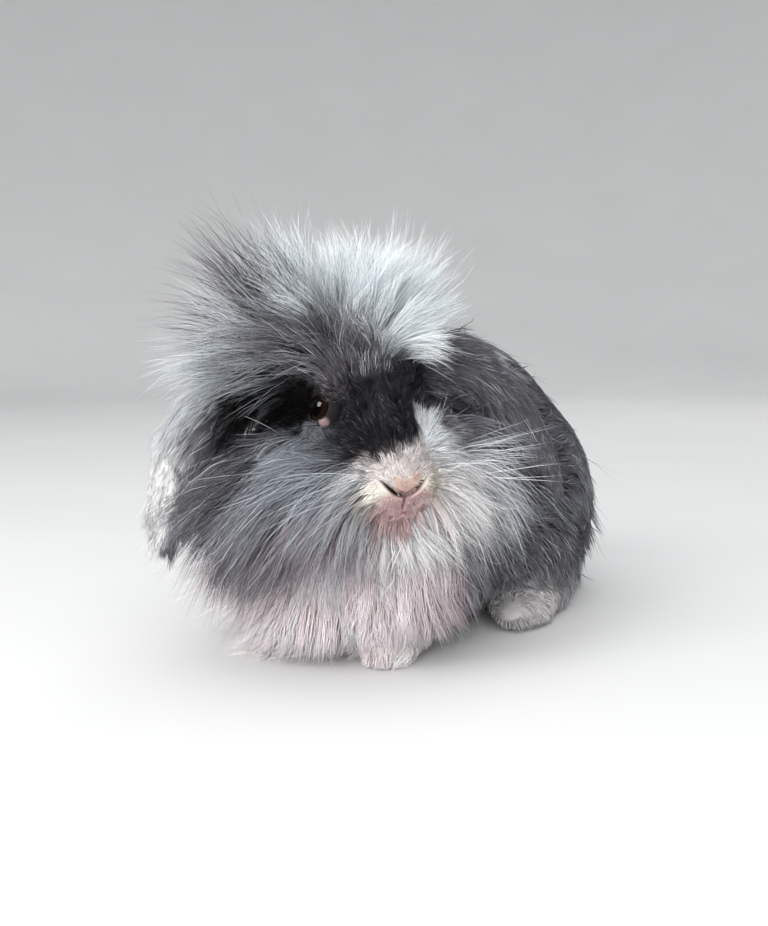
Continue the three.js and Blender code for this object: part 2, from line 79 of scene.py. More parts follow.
def node_middle(name):
    low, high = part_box(name)
    return np.array((low + high) / 2)


# Driving sizes of the animal, over its short coat, in metres.
BODY_LENGTH = 0.224
BODY_HALF_WIDTH = 0.076
BACK_HEIGHT = 0.150
HEAD_LENGTH = 0.080
EYE_RADIUS = 0.0082
EAR_WIDTH = 0.040
EAR_THICKNESS = 0.005
PAW_WIDTH = 0.020
FOOT_WIDTH = 0.024
LEG_HEIGHT = 0.016
TOES = 4
WHISKER_WIDTH = 0.0002

# The head's frame, read off the two eyes: x to the animal's left, y to its back, z up.
EYE_PLACE = np.array([0.22, -0.1, 0.06]) * HEAD_LENGTH
HEAD_IN_BODY = np.array([0.018, -0.096, 0.112])
eye_middles = {1: node_middle("eye_left"), -1: node_middle("eye_right")}
head_x = unit(eye_middles[1] - eye_middles[-1])
head_y = unit(np.cross(UP, head_x))
head_z = np.cross(head_x, head_y)
head_axes = np.array([head_x, head_y, head_z])
between_eyes = (eye_middles[1] + eye_middles[-1]) / 2
head_middle = between_eyes - np.array([0, EYE_PLACE[1], EYE_PLACE[2]]) @ head_axes
body_origin = head_middle - HEAD_IN_BODY
body_axes = np.eye(3)


def from_head(points):
    """Points of the head's frame, in the rabbit's frame."""
    return np.asarray(points, float) @ head_axes + head_middle


def to_head(points):
    return (np.asarray(points) - head_middle) @ head_axes.T


# Rounded masses: a middle, the directions of its three axes, and three half sizes.
def head_mass(middle, half, tilt=0):
    lean = np.array([
        [1, 0, 0],
        [0, math.cos(tilt), math.sin(tilt)],
        [0, -math.sin(tilt), math.cos(tilt)],
    ])
    return from_head(np.array(middle) * HEAD_LENGTH), lean @ head_axes, np.array(half) * HEAD_LENGTH


def body_mass(middle, half):
    size = np.array([BODY_HALF_WIDTH, BODY_LENGTH, BACK_HEIGHT])
    return np.array(middle) * size + body_origin, body_axes, np.array(half) * size


def both_sides(make):
    return [make(1), make(-1)]


def leg_masses(path, wide, toe_length):
    """A leg that lies on the floor, as a row of masses that ends in its toes."""
    found = []
    path = np.array(path) + [body_origin[0], body_origin[1], 0]
    starts = path[:-1]
    for start, end in zip(starts, path[1:]):
        along = unit(end - start)
        across = unit(np.cross(UP, along))
        axes = np.array([across, along, np.cross(across, along)])
        for share in (0, 0.5, 1):
            half = np.array([wide * 0.46, np.linalg.norm(end - start) * 0.42, LEG_HEIGHT * 0.44])
            found.append((lerp(start, end, share), axes, half))
    along = unit((path[-1] - path[-2]) * [1, 1, 0])
    across = unit(np.cross(UP, along))
    axes = np.array([across, along, UP])
    for toe in range(TOES):
        aside = (toe - (TOES - 1) / 2) / (TOES - 1)
        middle = path[-1] + along * toe_length * (-0.22 - 0.5 * aside**2) + across * aside * wide * 0.8
        middle[2] = LEG_HEIGHT * 0.4
        found.append((middle, axes, np.array([wide * 0.155, toe_length / 2, LEG_HEIGHT * 0.38])))
    return found


torso_masses = [
    body_mass([0, -0.214, 0.41], [0.6, 0.18, 0.34]),
    body_mass([0, 0, 0.47], [0.7, 0.25, 0.38]),
    body_mass([0, 0.22, 0.5], [0.76, 0.26, 0.43]),
    body_mass([0, 0.37, 0.41], [0.66, 0.18, 0.36]),
    body_mass([0, 0.09, 0.25], [0.66, 0.36, 0.27]),
    *both_sides(lambda side: body_mass([side * 0.6, 0.25, 0.34], [0.38, 0.22, 0.32])),
    *both_sides(lambda side: body_mass([side * 0.68, 0.12, 0.24], [0.27, 0.12, 0.2])),
    body_mass([0, 0.55, 0.38], [0.15, 0.048, 0.11]),
    body_mass([0, 0.58, 0.46], [0.12, 0.036, 0.1]),
    body_mass([0.055, -0.277, 0.55], [0.5, 0.13, 0.265]),
    body_mass([0.111, -0.33, 0.305], [0.5, 0.13, 0.24]),
]
head_masses = [
    head_mass([0, 0.1, 0.04], [0.34, 0.36, 0.29]),
    head_mass([0, -0.19, -0.06], [0.18, 0.32, 0.2], 0.55),
    head_mass([0, -0.3, -0.26], [0.19, 0.19, 0.16]),
    head_mass([0, -0.46, -0.27], [0.09, 0.07, 0.07]),
    *both_sides(lambda side: head_mass([side * 0.2, -0.06, -0.2], [0.17, 0.26, 0.22])),
    *both_sides(lambda side: head_mass([side * 0.1, -0.39, -0.33], [0.12, 0.12, 0.11])),
    head_mass([0, -0.34, -0.46], [0.1, 0.1, 0.08]),
    *both_sides(lambda side: head_mass([side * 0.2, -0.08, 0.18], [0.1, 0.16, 0.08])),
    head_mass([-0.03, 0.16, 0.3], [0.33, 0.24, 0.2]),
    *both_sides(lambda side: head_mass([side * 0.36, 0.1, -0.24], [0.22, 0.19, 0.24])),
]
forelegs = both_sides(lambda side: leg_masses(
    [[side * 0.030, -0.040, 0.016], [side * 0.027, -0.066, 0.010], [side * 0.024, -0.086, 0.008]],
    PAW_WIDTH, 0.015,
))
hind_feet = both_sides(lambda side: leg_masses(
    [[side * 0.056, 0.080, 0.010], [side * 0.060, 0.044, 0.009], [side * 0.058, 0.002, 0.008]],
    FOOT_WIDTH, 0.020,
))
legs = forelegs + hind_feet
leg_parts = [mass for leg in legs for mass in leg]
# Each form with the width over which its masses melt into each other.
FORMS = [(torso_masses, 0.006), (head_masses, 0.0025), (leg_parts, 0.0012)]
FORM_BLEND = 0.003


def distance_to_form(points, masses, blend):
    """How far points lie outside masses that melt into each other over the blend's width."""
    total = np.zeros(len(points))
    for middle, axes, half in masses:
        local = (points - middle) @ axes.T
        once = np.linalg.norm(local / half, axis=1)
        twice = np.linalg.norm(local / half**2, axis=1)
        far = once * (once - 1) / np.maximum(twice, 1e-6)
        total += np.exp(-np.clip(far / blend, -60, 60))
    return -blend * np.log(total)


def distance_to_flesh(points):
    """How far points lie outside the whole animal, from the forms that are within reach of them."""
    REACH = 0.03
    total = np.full(len(points), math.exp(-REACH / FORM_BLEND))
    for masses, blend in FORMS:
        middles = np.array([middle for middle, _, _ in masses])
        largest = max(half.max() for _, _, half in masses) + REACH
        near = np.all((points > middles.min(0) - largest) & (points < middles.max(0) + largest), axis=1)
        far = distance_to_form(points[near], masses, blend)
        total[near] += np.exp(-np.clip(far / FORM_BLEND, -60, 60))
    return -FORM_BLEND * np.log(total)


def slope_of_flesh(points, here):
    """The direction straight away from the flesh."""
    STEP = 0.0004
    slopes = [distance_to_flesh(points + STEP * axis) - here for axis in np.eye(3)]
    return unit(np.stack(slopes, axis=1))


def coat_depth(points):
    """How deep the skin lies in the flesh's outer form: least on the face and the feet."""
    DEEP, SHALLOW = 0.0025, 0.0006
    local = to_head(points)
    face = smoothstep(-local[:, 1], 0.0, 0.018) * (np.linalg.norm(local, axis=1) < 0.07)
    low = 1 - smoothstep(points[:, 2], 0.012, 0.03)
    return lerp(DEEP, SHALLOW, np.maximum(face, low))


# Ears: a path, the way the outer side faces, and a cupped oval section that ends round.
EAR_PATHS = {
    -1: [[-13, 13, 12], [-40, 28, 21], [-67, 44, -8], [-84, 55, -59]],
    1: [[13, 13, 12], [58, 16, 19], [88, 19, -10], [103, 18, -52]],
}
EAR_OUTWARD = {-1: [-0.72, -0.5, 0.45], 1: [0.6, -0.6, 0.5]}
EAR_CUP = 0.009


def curve_through(points, shares):
    """Places on a smooth curve through points, spaced by the square root of their distances."""
    points = np.asarray(points, float)
    padded = np.vstack([2 * points[0] - points[1], points, 2 * points[-1] - points[-2]])
    knots = np.concatenate([[0], np.cumsum(np.sqrt(np.linalg.norm(np.diff(padded, axis=0), axis=1)))])
    along = np.clip(np.asarray(shares, float), 0, 1) * (len(points) - 1)
    span = np.minimum(along.astype(int), len(points) - 2)
    p = [padded[span + i] for i in range(4)]
    k = [knots[span + i][:, None] for i in range(4)]
    t = k[1] + (k[2] - k[1]) * (along - span)[:, None]
    a = [
        p[i] * (k[i + 1] - t) / (k[i + 1] - k[i]) + p[i + 1] * (t - k[i]) / (k[i + 1] - k[i])
        for i in range(3)
    ]
    b = [
        a[i] * (k[i + 2] - t) / (k[i + 2] - k[i]) + a[i + 1] * (t - k[i]) / (k[i + 2] - k[i])
        for i in range(2)
    ]
    return b[0] * (k[2] - t) / (k[2] - k[1]) + b[1] * (t - k[1]) / (k[2] - k[1])


def ear_frame(side, shares):
    """Middle line, length direction, width direction and outer direction of an ear."""
    STEP = 0.01
    path = from_head(np.array(EAR_PATHS[side]) * MM)
    middle = curve_through(path, shares)
    ahead = curve_through(path, np.minimum(shares + STEP, 1))
    behind = curve_through(path, np.maximum(shares - STEP, 0))
    along = unit(ahead - behind)
    across = unit(np.cross(along, np.array(EAR_OUTWARD[side]) @ head_axes))
    return middle, along, across, np.cross(across, along)


def round_end(shares, start):
    swell = start + (1 - start) * np.minimum(1, shares * 2.2)
    return swell * np.sqrt(np.maximum(0, 1 - shares**5))


def ear_cup(shares):
    return EAR_CUP * (1 - 0.6 * shares) * np.sin(math.pi * np.minimum(1, shares + 0.12))


def finish_edit():
    bpy.ops.object.mode_set(mode="OBJECT")


def rows_of(items, name):
    """A property of three numbers of every item of a mesh, as rows."""
    found = np.empty(len(items) * 3)
    items.foreach_get(name, found)
    return found.reshape(-1, 3)


def shape(obj, place):
    """Moves every point of a mesh to where the given function puts it."""
    obj.data.vertices.foreach_set("co", place(rows_of(obj.data.vertices, "co")).ravel())
    obj.data.update()


def add_ball(middle, axes, half):
    """A ball stretched to one mass of the flesh."""
    bpy.ops.mesh.primitive_uv_sphere_add(segments=32, ring_count=20, radius=1)
    ball = bpy.context.object
    shape(ball, lambda points: (points * half) @ axes + middle)
    return ball


def add_ear(side):
    """An ear's skin: a closed tube bent along the ear and cupped on its inner side."""
    bpy.ops.mesh.primitive_cylinder_add(vertices=40, radius=1, depth=1, end_fill_type="TRIFAN")
    ear = bpy.context.object
    bpy.ops.object.mode_set(mode="EDIT")
    bpy.ops.mesh.select_all(action="DESELECT")
    finish_edit()
    for edge in ear.data.edges:
        a, b = (ear.data.vertices[i].co for i in edge.vertices)
        edge.select = abs(a.z - b.z) > 0.5
    bpy.ops.object.mode_set(mode="EDIT")
    bpy.ops.mesh.subdivide(number_cuts=60)
    finish_edit()

    def place(points):
        shares = np.clip(points[:, 2] + 0.5, 0, 0.985)
        middle, _, across, out = ear_frame(side, shares)
        aside, outside = points[:, 0], points[:, 1]
        wide = EAR_WIDTH / 2 * round_end(shares, 0.5)
        thick = EAR_THICKNESS / 2 * round_end(shares, 1.3)
        return (
            middle
            + across * (aside * wide)[:, None]
            + out * (outside * thick - ear_cup(shares) * aside**2)[:, None]
        )

    shape(ear, place)
    return ear


def join(objects, name):
    bpy.ops.object.select_all(action="DESELECT")
    for obj in objects:
        obj.select_set(True)
    bpy.context.view_layer.objects.active = objects[0]
    bpy.ops.object.join()
    joined = bpy.context.object
    joined.name = joined.data.name = name
    return joined


def apply_modifier(obj, kind, **settings):
    modifier = obj.modifiers.new(kind, kind)
    for key, value in settings.items():
        setattr(modifier, key, value)
    bpy.context.view_layer.objects.active = obj
    bpy.ops.object.modifier_apply(modifier=modifier.name)


def subdivide_where(obj, chosen):
    """Cuts in half the edges of the faces whose middles the given function chooses."""
    centres = rows_of(obj.data.polygons, "center")
    bpy.context.view_layer.objects.active = obj
    bpy.ops.object.mode_set(mode="EDIT")
    bpy.ops.mesh.select_mode(type="FACE")
    bpy.ops.mesh.select_all(action="DESELECT")
    finish_edit()
    obj.data.polygons.foreach_set("select", chosen(centres))
    bpy.ops.object.mode_set(mode="EDIT")
    bpy.ops.mesh.subdivide(number_cuts=1)
    finish_edit()


def near_ear(points, reach):
    """Whether points lie on an ear, away from its root."""
    FREE_FROM = 0.2
    CUP_MIDDLE = -0.004
    found = np.zeros(len(points), bool)
    for side in (1, -1):
        middle, _, across, out = ear_frame(side, np.linspace(FREE_FROM, 1, 30))
        for m, a, o in zip(middle, across, out):
            away = points - m
            within = np.linalg.norm(away, axis=1) < EAR_WIDTH * 0.62
            within &= np.abs(away @ a) < EAR_WIDTH * 0.56
            found |= within & (np.abs(away @ o - CUP_MIDDLE) < reach)
    return found


def on_free_ear(points):
    """Whether points lie on an ear and clear of the head."""
    return near_ear(points, 0.012) & (distance_to_flesh(points) > 0.001)


def settle_on_flesh(points, rounds=4):
    """Moves points onto the flesh's form, sunk by the coat's depth, but leaves the ears as they are."""
    LONGEST_STEP = 0.003
    ABOVE_FLOOR = 0.0005
    moved = points.copy()
    free = ~near_ear(points, 0.008) | (distance_to_flesh(points) < -0.001)
    for _ in range(rounds):
        here = distance_to_flesh(moved[free])
        away = slope_of_flesh(moved[free], here)
        step = np.clip(here + coat_depth(moved[free]), -LONGEST_STEP, LONGEST_STEP)
        moved[free] -= away * step[:, None]
    moved[:, 2] = np.maximum(moved[:, 2], ABOVE_FLOOR)
    return moved


# The openings of the face, as lines on the front of the head, in millimetres of its x and z.
NOSTRILS = both_sides(lambda side: np.array([[side * 0.5, -29.8], [side * 4.9, -27.3], [side * 10.4, -21.4]]))
LIP_SPLIT = np.array([[0, -29.2], [0, -33.5], [0, -37.6]])
MOUTH = both_sides(lambda side: np.array([[0, -37.4], [side * 6, -39.2], [side * 12, -37.8]]))
FACE_MIDDLE = np.array([[0, -28], [0, -34], [0, -38]])
FACE_FRONT = -20
NOSE_CENTRE = [0, -0.038, -0.030]
FACE_CENTRE = [0, -0.026, -0.008]
# Each line with the half width and the depth of its fold, and how far the rims swell.
FACE_LINES = [(line, 1.0, 3.0, 0.15) for line in NOSTRILS] + [(LIP_SPLIT, 0.6, 1.6, 0.35)]
FACE_LINES += [(line, 0.55, 1.3, 0.2) for line in MOUTH]


def distance_to_line(points, line):
    """How far points on the front of the face lie from a line, in millimetres, and the share along it."""
    STEPS = 30
    local = to_head(points) / MM
    dense = curve_through(line, np.linspace(0, 1, STEPS + 1))
    far = np.linalg.norm(local[:, None, ::2] - dense, axis=2)
    return np.where(local[:, 1] < FACE_FRONT, far.min(1), 99.0), far.argmin(1) / STEPS


def face_folds(points):
    """For each opening, how near points are to its bottom and to its rims: 1 there and 0 away."""
    bottoms, rims = [], []
    for line, half, _, _ in FACE_LINES:
        far, share = distance_to_line(points, line)
        taper = np.sin(math.pi * lerp(0.22, 0.96, share)) ** 0.7
        far = far / (half * lerp(0.5, 1, taper))
        bottoms.append(np.exp(-far**2) * taper)
        rims.append(np.exp(-((far - 2.2) ** 2)) * taper)
    return np.array(bottoms), np.array(rims)


# Ways out of the middle of the left eye, in the head's frame.
EYE_WAY = [0.93, -0.3, 0.34]
LID_CORNER_WAY = [0.52, -0.7, -0.41]


def head_way(side, way):
    """A way of the head's left side, or its mirror image, in the rabbit's frame."""
    return unit(np.array([side, 1, 1]) * way @ head_axes)


def eye_angles(points, side):
    """Distance from the middle of an eyeball, and the angle off its axis in an oval opening."""
    away = points - eye_middles[side]
    axis = head_way(side, EYE_WAY)
    level = unit(np.cross(UP, axis))
    upward = np.cross(axis, level)
    far = np.linalg.norm(away, axis=1)
    ahead = away @ axis
    aside = np.hypot(away @ level, (away @ upward) * 1.3)
    return far, np.arctan2(aside, ahead)


# The angles off the eye's axis, in radians, at which the opening ends and the lids reach their full
# thickness, begin to thin, and meet the face.
LID_ANGLE = math.radians(48)
LID_TOP, LID_THINS, LID_END = LID_ANGLE + 0.13, 1.25, 1.75
LID_THICKNESS = 0.0013
EYE_BED = 0.0012


def carve_face(points):
    """Sinks the nostrils and mouth, swells their rims, and lays the lids over the eyeballs."""
    moved = points.copy()
    here = distance_to_flesh(moved)
    close = np.linalg.norm(moved - head_middle, axis=1) < 0.075
    away = slope_of_flesh(moved[close], here[close])
    bottoms, rims = face_folds(moved[close])
    sink = (bottoms * [[depth] for _, _, depth, _ in FACE_LINES]).max(0)
    swell = (rims * [[swell] for _, _, _, swell in FACE_LINES]).max(0) * (1 - bottoms.max(0))
    moved[close] += away * ((swell - sink) * MM)[:, None]
    for side in (1, -1):
        far, angle = eye_angles(moved, side)
        around = (far < 0.02) & (angle < LID_END)
        lid = smoothstep(angle, LID_ANGLE, LID_TOP)
        fade = 1 - smoothstep(angle, LID_THINS, LID_END)
        wanted = lerp(EYE_RADIUS - EYE_BED, EYE_RADIUS + LID_THICKNESS * fade, lid)
        target = np.where(lid > 0.5, np.maximum(far, wanted), wanted)
        push = np.where(around, target / np.maximum(far, 1e-6), 1)
        moved = eye_middles[side] + (moved - eye_middles[side]) * push[:, None]
    return moved


def face_part(centres, reach):
    local = to_head(centres)
    return (np.linalg.norm(local - FACE_CENTRE, axis=1) < reach) & (local[:, 1] < 0.008)


def nose_part(centres, reach):
    return np.linalg.norm(to_head(centres) - NOSE_CENTRE, axis=1) < reach


def add_skin():
    """One skin for the whole animal, from its masses, melted together and carved."""
    balls = [add_ball(*mass) for masses, _ in FORMS for mass in masses]
    skin = join(balls + both_sides(add_ear), "skin")
    apply_modifier(skin, "REMESH", mode="VOXEL", voxel_size=0.0019)
    shape(skin, settle_on_flesh)
    subdivide_where(skin, lambda centres: face_part(centres, 0.032))
    shape(skin, settle_on_flesh)
    subdivide_where(skin, lambda centres: face_part(centres, 0.028))
    subdivide_where(skin, lambda centres: nose_part(centres, 0.013))
    apply_modifier(skin, "SMOOTH", factor=0.5, iterations=3)
    shape(skin, lambda points: carve_face(settle_on_flesh(points, 2)))
    skin.data.polygons.foreach_set("use_smooth", np.ones(len(skin.data.polygons), bool))
    return skin


def tint(red, green, blue):
    """A colour as it is seen, from 0 to 255, as the light that it reflects."""
    share = np.array([red, green, blue]) / 255
    return np.where(share < 0.04045, share / 12.92, ((share + 0.055) / 1.055) ** 2.4)


def fade(root, tip):
    """The colours of a hair at its root and at its tip, as they are seen."""
    return np.array([tint(*root), tint(*tip)])


# Painted shade: near-black hair for the hollows behind the eyes and under the right ear's root.
PAINTED_SHADE_BLACK = fade((6, 5, 7), (14, 12, 15))
JET = fade((13, 12, 14), (60, 57, 62))
SOOT = fade((40, 37, 40), (100, 97, 101))
STEEL = fade((66, 64, 68), (150, 152, 157))
SMOKE = fade((70, 69, 74), (124, 125, 131))
SHADE = fade((52, 50, 54), (104, 102, 107))
ASH = fade((66, 64, 69), (122, 118, 124))
SLATE = fade((72, 74, 80), (150, 155, 163))
MAUVE = fade((74, 66, 72), (146, 133, 140))
# Pale tips are the hair's own colour; the near-black roots are painted shade of the hollow under the temple
# hair.
PALE_TIP_PAINTED_SHADE_ROOT = fade((30, 28, 31), (218, 225, 230))
SILVER = fade((104, 105, 110), (214, 217, 221))
DOVE = fade((90, 89, 94), (184, 185, 191))
BROW = fade((48, 44, 48), (124, 122, 127))
RIME = fade((152, 161, 166), (240, 248, 252))
SNOW = fade((196, 204, 209), (244, 250, 253))
BLAZE = fade((232, 238, 242), (252, 254, 255))
WHITE = fade((222, 216, 216), (250, 247, 247))
PALE = fade((190, 190, 189), (228, 229, 228))
IVORY = fade((214, 204, 192), (233, 227, 219))
CREAM = fade((190, 162, 148), (214, 192, 180))
MUZZLE = fade((190, 182, 180), (224, 216, 214))
CHIN = fade((196, 164, 163), (224, 200, 199))
# Cream-white hair with a pink tint that is painted light, bounced up onto the chest from below.
CREAM_WITH_PAINTED_PINK_LIGHT = fade((248, 222, 224), (255, 243, 246))
# Painted shade: the bib's pink-grey where its side turns from the light, with the same painted pink bounce.
PAINTED_SHADE_PINK_GREY = fade((150, 132, 138), (196, 180, 184))
LIP = fade((160, 124, 130), (190, 162, 166))
INNER_EAR = fade((140, 122, 124), (184, 170, 170))
# Painted shade: the dark inside of the nostril slits.
NOSTRIL_PAINTED_SHADE = tint(40, 23, 18)
LIP_LINE = tint(124, 80, 90)
LID_RIM = tint(30, 25, 27)
LID_CORNER = tint(134, 113, 113)


def mirrored(place, reach, lie, *rest):
    """The same zone of the coat on both sides, from the one on the left."""
    return [
        ([side * place[0], *place[1:]], reach, [side * lie[0], *lie[1:]], *rest) for side in (-1, 1)
    ]


# The chart of the coat, under the piece that a zone goes to: where the zone is, how far it reaches, the
# way its hair lies, how long it is, its colours, its strands in a square centimetre, their width, and how
# far the hair stands off the skin and sinks at its tip. Places, reaches, lengths and widths are in
# millimetres, in the head's frame and in the body's.
HEAD_ZONES = {
    "coat_face": [
        ([0, -42, -25], 3, [0, 0.5, 0.5], 0.9, CREAM, 300, 0.2, 0.1, 0),
        ([0, -41, -17], 4, [0, 0.8, 0.6], 2.2, MUZZLE, 450, 0.25, 0.2, 0),
        *mirrored([9, -38, -18], 3.5, [0.6, 0.8, 0.2], 3, MUZZLE, 450, 0.28, 0.2, 0),
        *mirrored([10.5, -36, -26], 3, [0.9, 0.4, -0.3], 2.5, IVORY, 450, 0.25, 0.15, 0.1),
        ([-14, -33, -21], 3, [-0.9, 0.3, -0.1], 13, SILVER, 360, 0.33, 0.3, 0.2),
        ([14, -32, -19], 4, [0.9, 0.3, -0.2], 15, WHITE, 360, 0.33, 0.25, 0.2),
        *mirrored([5, -37, -33], 3.5, [0.6, 0.3, -0.7], 1.8, CHIN, 420, 0.25, 0.1, 0.1),
        ([0, -33, -41], 4, [0, 0.2, -1], 4, CHIN, 380, 0.3, 0.2, 0.1),
        ([-2, -37, -9], 5, [-0.1, 0.6, 0.8], 6, JET, 380, 0.3, 0.25, 0),
        ([-6, -35, -13], 3, [-0.5, 0.7, 0.4], 5, JET, 380, 0.3, 0.25, 0),
        ([0, -31, 0], 6, [0.1, 0.4, 0.9], 9, JET, 380, 0.3, 0.35, 0),
        ([-12, -27, -8], 5, [-0.5, 0.8, 0.2], 8, JET, 380, 0.3, 0.3, 0),
        ([9, -31, -7], 4, [0, 0.6, 0.8], 7, JET, 380, 0.3, 0.25, 0),
        ([13, -22, 3], 5, [0.5, 0.1, 0.9], 11, JET, 380, 0.3, 0.25, 0),
        ([0, -22, 9], 6, [0, 0.1, 1], 9, JET, 380, 0.3, 0.4, 0),
        ([-17, -18, 1], 4, [-0.4, 0.8, 0.2], 4, JET, 400, 0.28, 0.15, 0),
        ([-15, -11, 15], 5, [-0.7, 0.15, 0.8], 12, SOOT, 380, 0.33, 0.4, 0),
        # Painted shade: near-black hair in the hollow behind the right eye and under the ear's root.
        ([-25, 4, 9], 9, [-0.7, 0.7, -0.1], 5, PAINTED_SHADE_BLACK, 280, 0.35, 0.15, 0),
        ([-27, 0, -1], 5, [-0.8, 0.5, -0.1], 5, PAINTED_SHADE_BLACK, 280, 0.35, 0.15, 0),
        ([-33, 16, 6], 7, [-0.8, 0.4, -0.4], 18, PAINTED_SHADE_BLACK, 240, 0.5, 0.1, 0),
        ([-33, 14, -4], 5, [-0.9, 0.4, -0.1], 22, PAINTED_SHADE_BLACK, 260, 0.5, 0.1, 0),
        ([-32, 26, -3], 6, [-0.9, 0.1, -0.3], 28, PAINTED_SHADE_BLACK, 260, 0.6, 0.1, 0),
        ([18, -13, 9], 7, [0.5, 0.6, 0.4], 9, JET, 320, 0.33, 0.2, 0),
        # Painted shade: near-black hair behind the left eye, as on the right.
        ([25, 4, 8], 8, [0.7, 0.7, -0.1], 8, PAINTED_SHADE_BLACK, 280, 0.4, 0.15, 0),
        ([27, -6, -3], 5, [0.8, 0.5, 0], 14, ASH, 300, 0.35, 0.2, 0),
        ([15.5, -21, 0], 2.4, [-0.1, 0, 1], 9, BLAZE, 520, 0.3, 0.3, 0),
        ([16.5, -23, -6], 2.9, [-0.1, 0.1, 1], 9, BLAZE, 520, 0.3, 0.35, 0),
        ([15.5, -27, -12], 3.2, [0.15, 0.2, 1], 9, BLAZE, 520, 0.3, 0.35, 0),
        ([20, -27, -15], 4, [0.9, 0.1, 0.2], 14, BLAZE, 400, 0.33, 0.25, 0.1),
        ([-24, -12, -6], 5, [-0.85, 0.5, -0.15], 13, SLATE, 340, 0.33, 0.25, 0.1),
    ],
    "coat_cheek_right": [
        ([-20, -24, -19], 5, [-0.85, 0.3, -0.3], 32, SLATE, 280, 0.33, 0.25, 0.45),
        ([-16, -31, -29], 4, [-0.6, 0.2, -0.7], 32, DOVE, 300, 0.33, 0.25, 0.35),
        ([-30, -6, -12], 7, [-0.9, 0.35, -0.25], 42, SLATE, 250, 0.35, 0.25, 0.5),
        ([-40, 8, -14], 9, [-0.85, 0.35, -0.35], 50, SHADE, 220, 0.38, 0.2, 0.5),
    ],
    "coat_jowl_right": [
        ([-34, -2, -30], 9, [-0.75, 0.1, -0.6], 48, ASH, 220, 0.38, 0.25, 0.3),
        ([-44, 12, -32], 9, [-0.65, 0.2, -0.7], 46, SHADE, 220, 0.38, 0.2, 0.2),
        ([-22, -14, -36], 7, [-0.55, 0, -0.8], 36, MAUVE, 220, 0.38, 0.25, 0.1),
        ([-40, 24, -20], 10, [-0.65, 0.5, -0.6], 50, ASH, 150, 0.5, 0.15, 0.2),
    ],
    "coat_cheek_left": [
        ([25, -13, -9], 5, [0.85, 0.5, -0.1], 26, ASH, 300, 0.33, 0.12, 0.1),
        ([20, -24, -22], 5, [0.85, 0.1, -0.45], 34, WHITE, 280, 0.35, 0.15, 0.4),
        ([16, -31, -29], 4, [0.7, 0.1, -0.6], 34, WHITE, 280, 0.35, 0.25, 0.35),
        ([31, -8, -19], 6, [0.9, 0.25, -0.35], 46, SILVER, 240, 0.35, 0.15, 0.4),
        ([40, 8, -16], 9, [0.8, 0.4, -0.3], 46, SMOKE, 200, 0.38, 0.15, 0.4),
        ([34, -2, -31], 9, [0.8, 0.1, -0.6], 50, DOVE, 240, 0.38, 0.2, 0.35),
        ([44, 12, -32], 9, [0.65, 0.3, -0.7], 48, SMOKE, 200, 0.42, 0.2, 0.3),
        ([21, -15, -39], 6, [0.45, 0, -0.9], 42, ASH, 220, 0.38, 0.2, 0.15),
    ],
    "coat_beard": [
        ([2, -26, -46], 5, [0.1, 0, -1], 34, BLAZE, 260, 0.35, 0.4, 0),
        ([-11, -20, -45], 4.5, [-0.3, 0, -1], 28, SHADE, 230, 0.35, 0.15, 0),
        ([12, -20, -45], 4.5, [0.4, 0, -1], 34, SHADE, 230, 0.35, 0.2, 0),
        # Cream-white under the chin, tinted pink as painted bounce light.
        ([0, 0, -50], 12, [0, 0, -1], 40, CREAM_WITH_PAINTED_PINK_LIGHT, 80, 0.6, 0.1, 0),
    ],
    "coat_crest_right": [
        ([0, -15, 17], 5, [0, -0.15, 1], 13, SOOT, 360, 0.33, 0.35, 0),
        ([-3, -8, 24], 6, [-0.15, -0.2, 1], 22, BROW, 300, 0.33, 0.35, 0),
        ([-15, 0, 27], 7, [-0.75, -0.1, 0.6], 36, BROW, 270, 0.33, 0.25, 0.1),
        ([-9, 8, 36], 6, [-0.25, -0.25, 1], 44, RIME, 260, 0.35, 0.25, 0.05),
        ([-22, 16, 34], 8, [-0.42, 0.05, 0.9], 72, SHADE, 220, 0.35, 0.15, 0),
    ],
    "coat_crest_left": [
        ([1, 0, 31], 5, [0, -0.3, 1], 36, RIME, 300, 0.33, 0.3, 0),
        ([14, -4, 26], 5, [0.6, -0.6, 0.25], 34, SNOW, 320, 0.33, 0.3, 0.45),
        ([8, 3, 33], 6, [0.25, -0.35, 1], 42, RIME, 290, 0.35, 0.3, 0.05),
        ([4, 17, 44], 8, [0.15, -0.05, 1], 41, RIME, 250, 0.35, 0.2, 0),
        ([22, 14, 32], 8, [0.65, -0.2, 0.7], 54, RIME, 250, 0.35, 0.15, 0.1),
        ([30, 12, 19], 7, [0.9, -0.1, 0.35], 42, SILVER, 220, 0.35, 0.1, 0.2),
    ],
    "coat_temples": [
        # Temple hair over the right ear: pale tips, with roots darkened as painted shade.
        ([-25, 8, 24], 6, [-0.95, 0.05, 0.3], 56, PALE_TIP_PAINTED_SHADE_ROOT, 300, 0.35, 0.25, 0.18),
        ([-31, 20, 18], 7, [-0.95, 0.15, 0.05], 64, PALE_TIP_PAINTED_SHADE_ROOT, 280, 0.35, 0.2, 0.22),
        ([31, 22, 12], 8, [0.8, 0.5, -0.2], 42, SMOKE, 160, 0.45, 0.1, 0.2),
    ],
    "coat_nape": [
        ([0, 34, 34], 10, [0, 0.8, 0.4], 44, SMOKE, 90, 0.6, 0.15, 0.2),
        ([0, 42, 14], 12, [0, 0.9, -0.2], 44, SMOKE, 70, 0.7, 0.1, 0.2),
        *mirrored([24, 34, 18], 10, [0.5, 0.8, 0], 44, SMOKE, 90, 0.6, 0.1, 0.2),
    ],
}
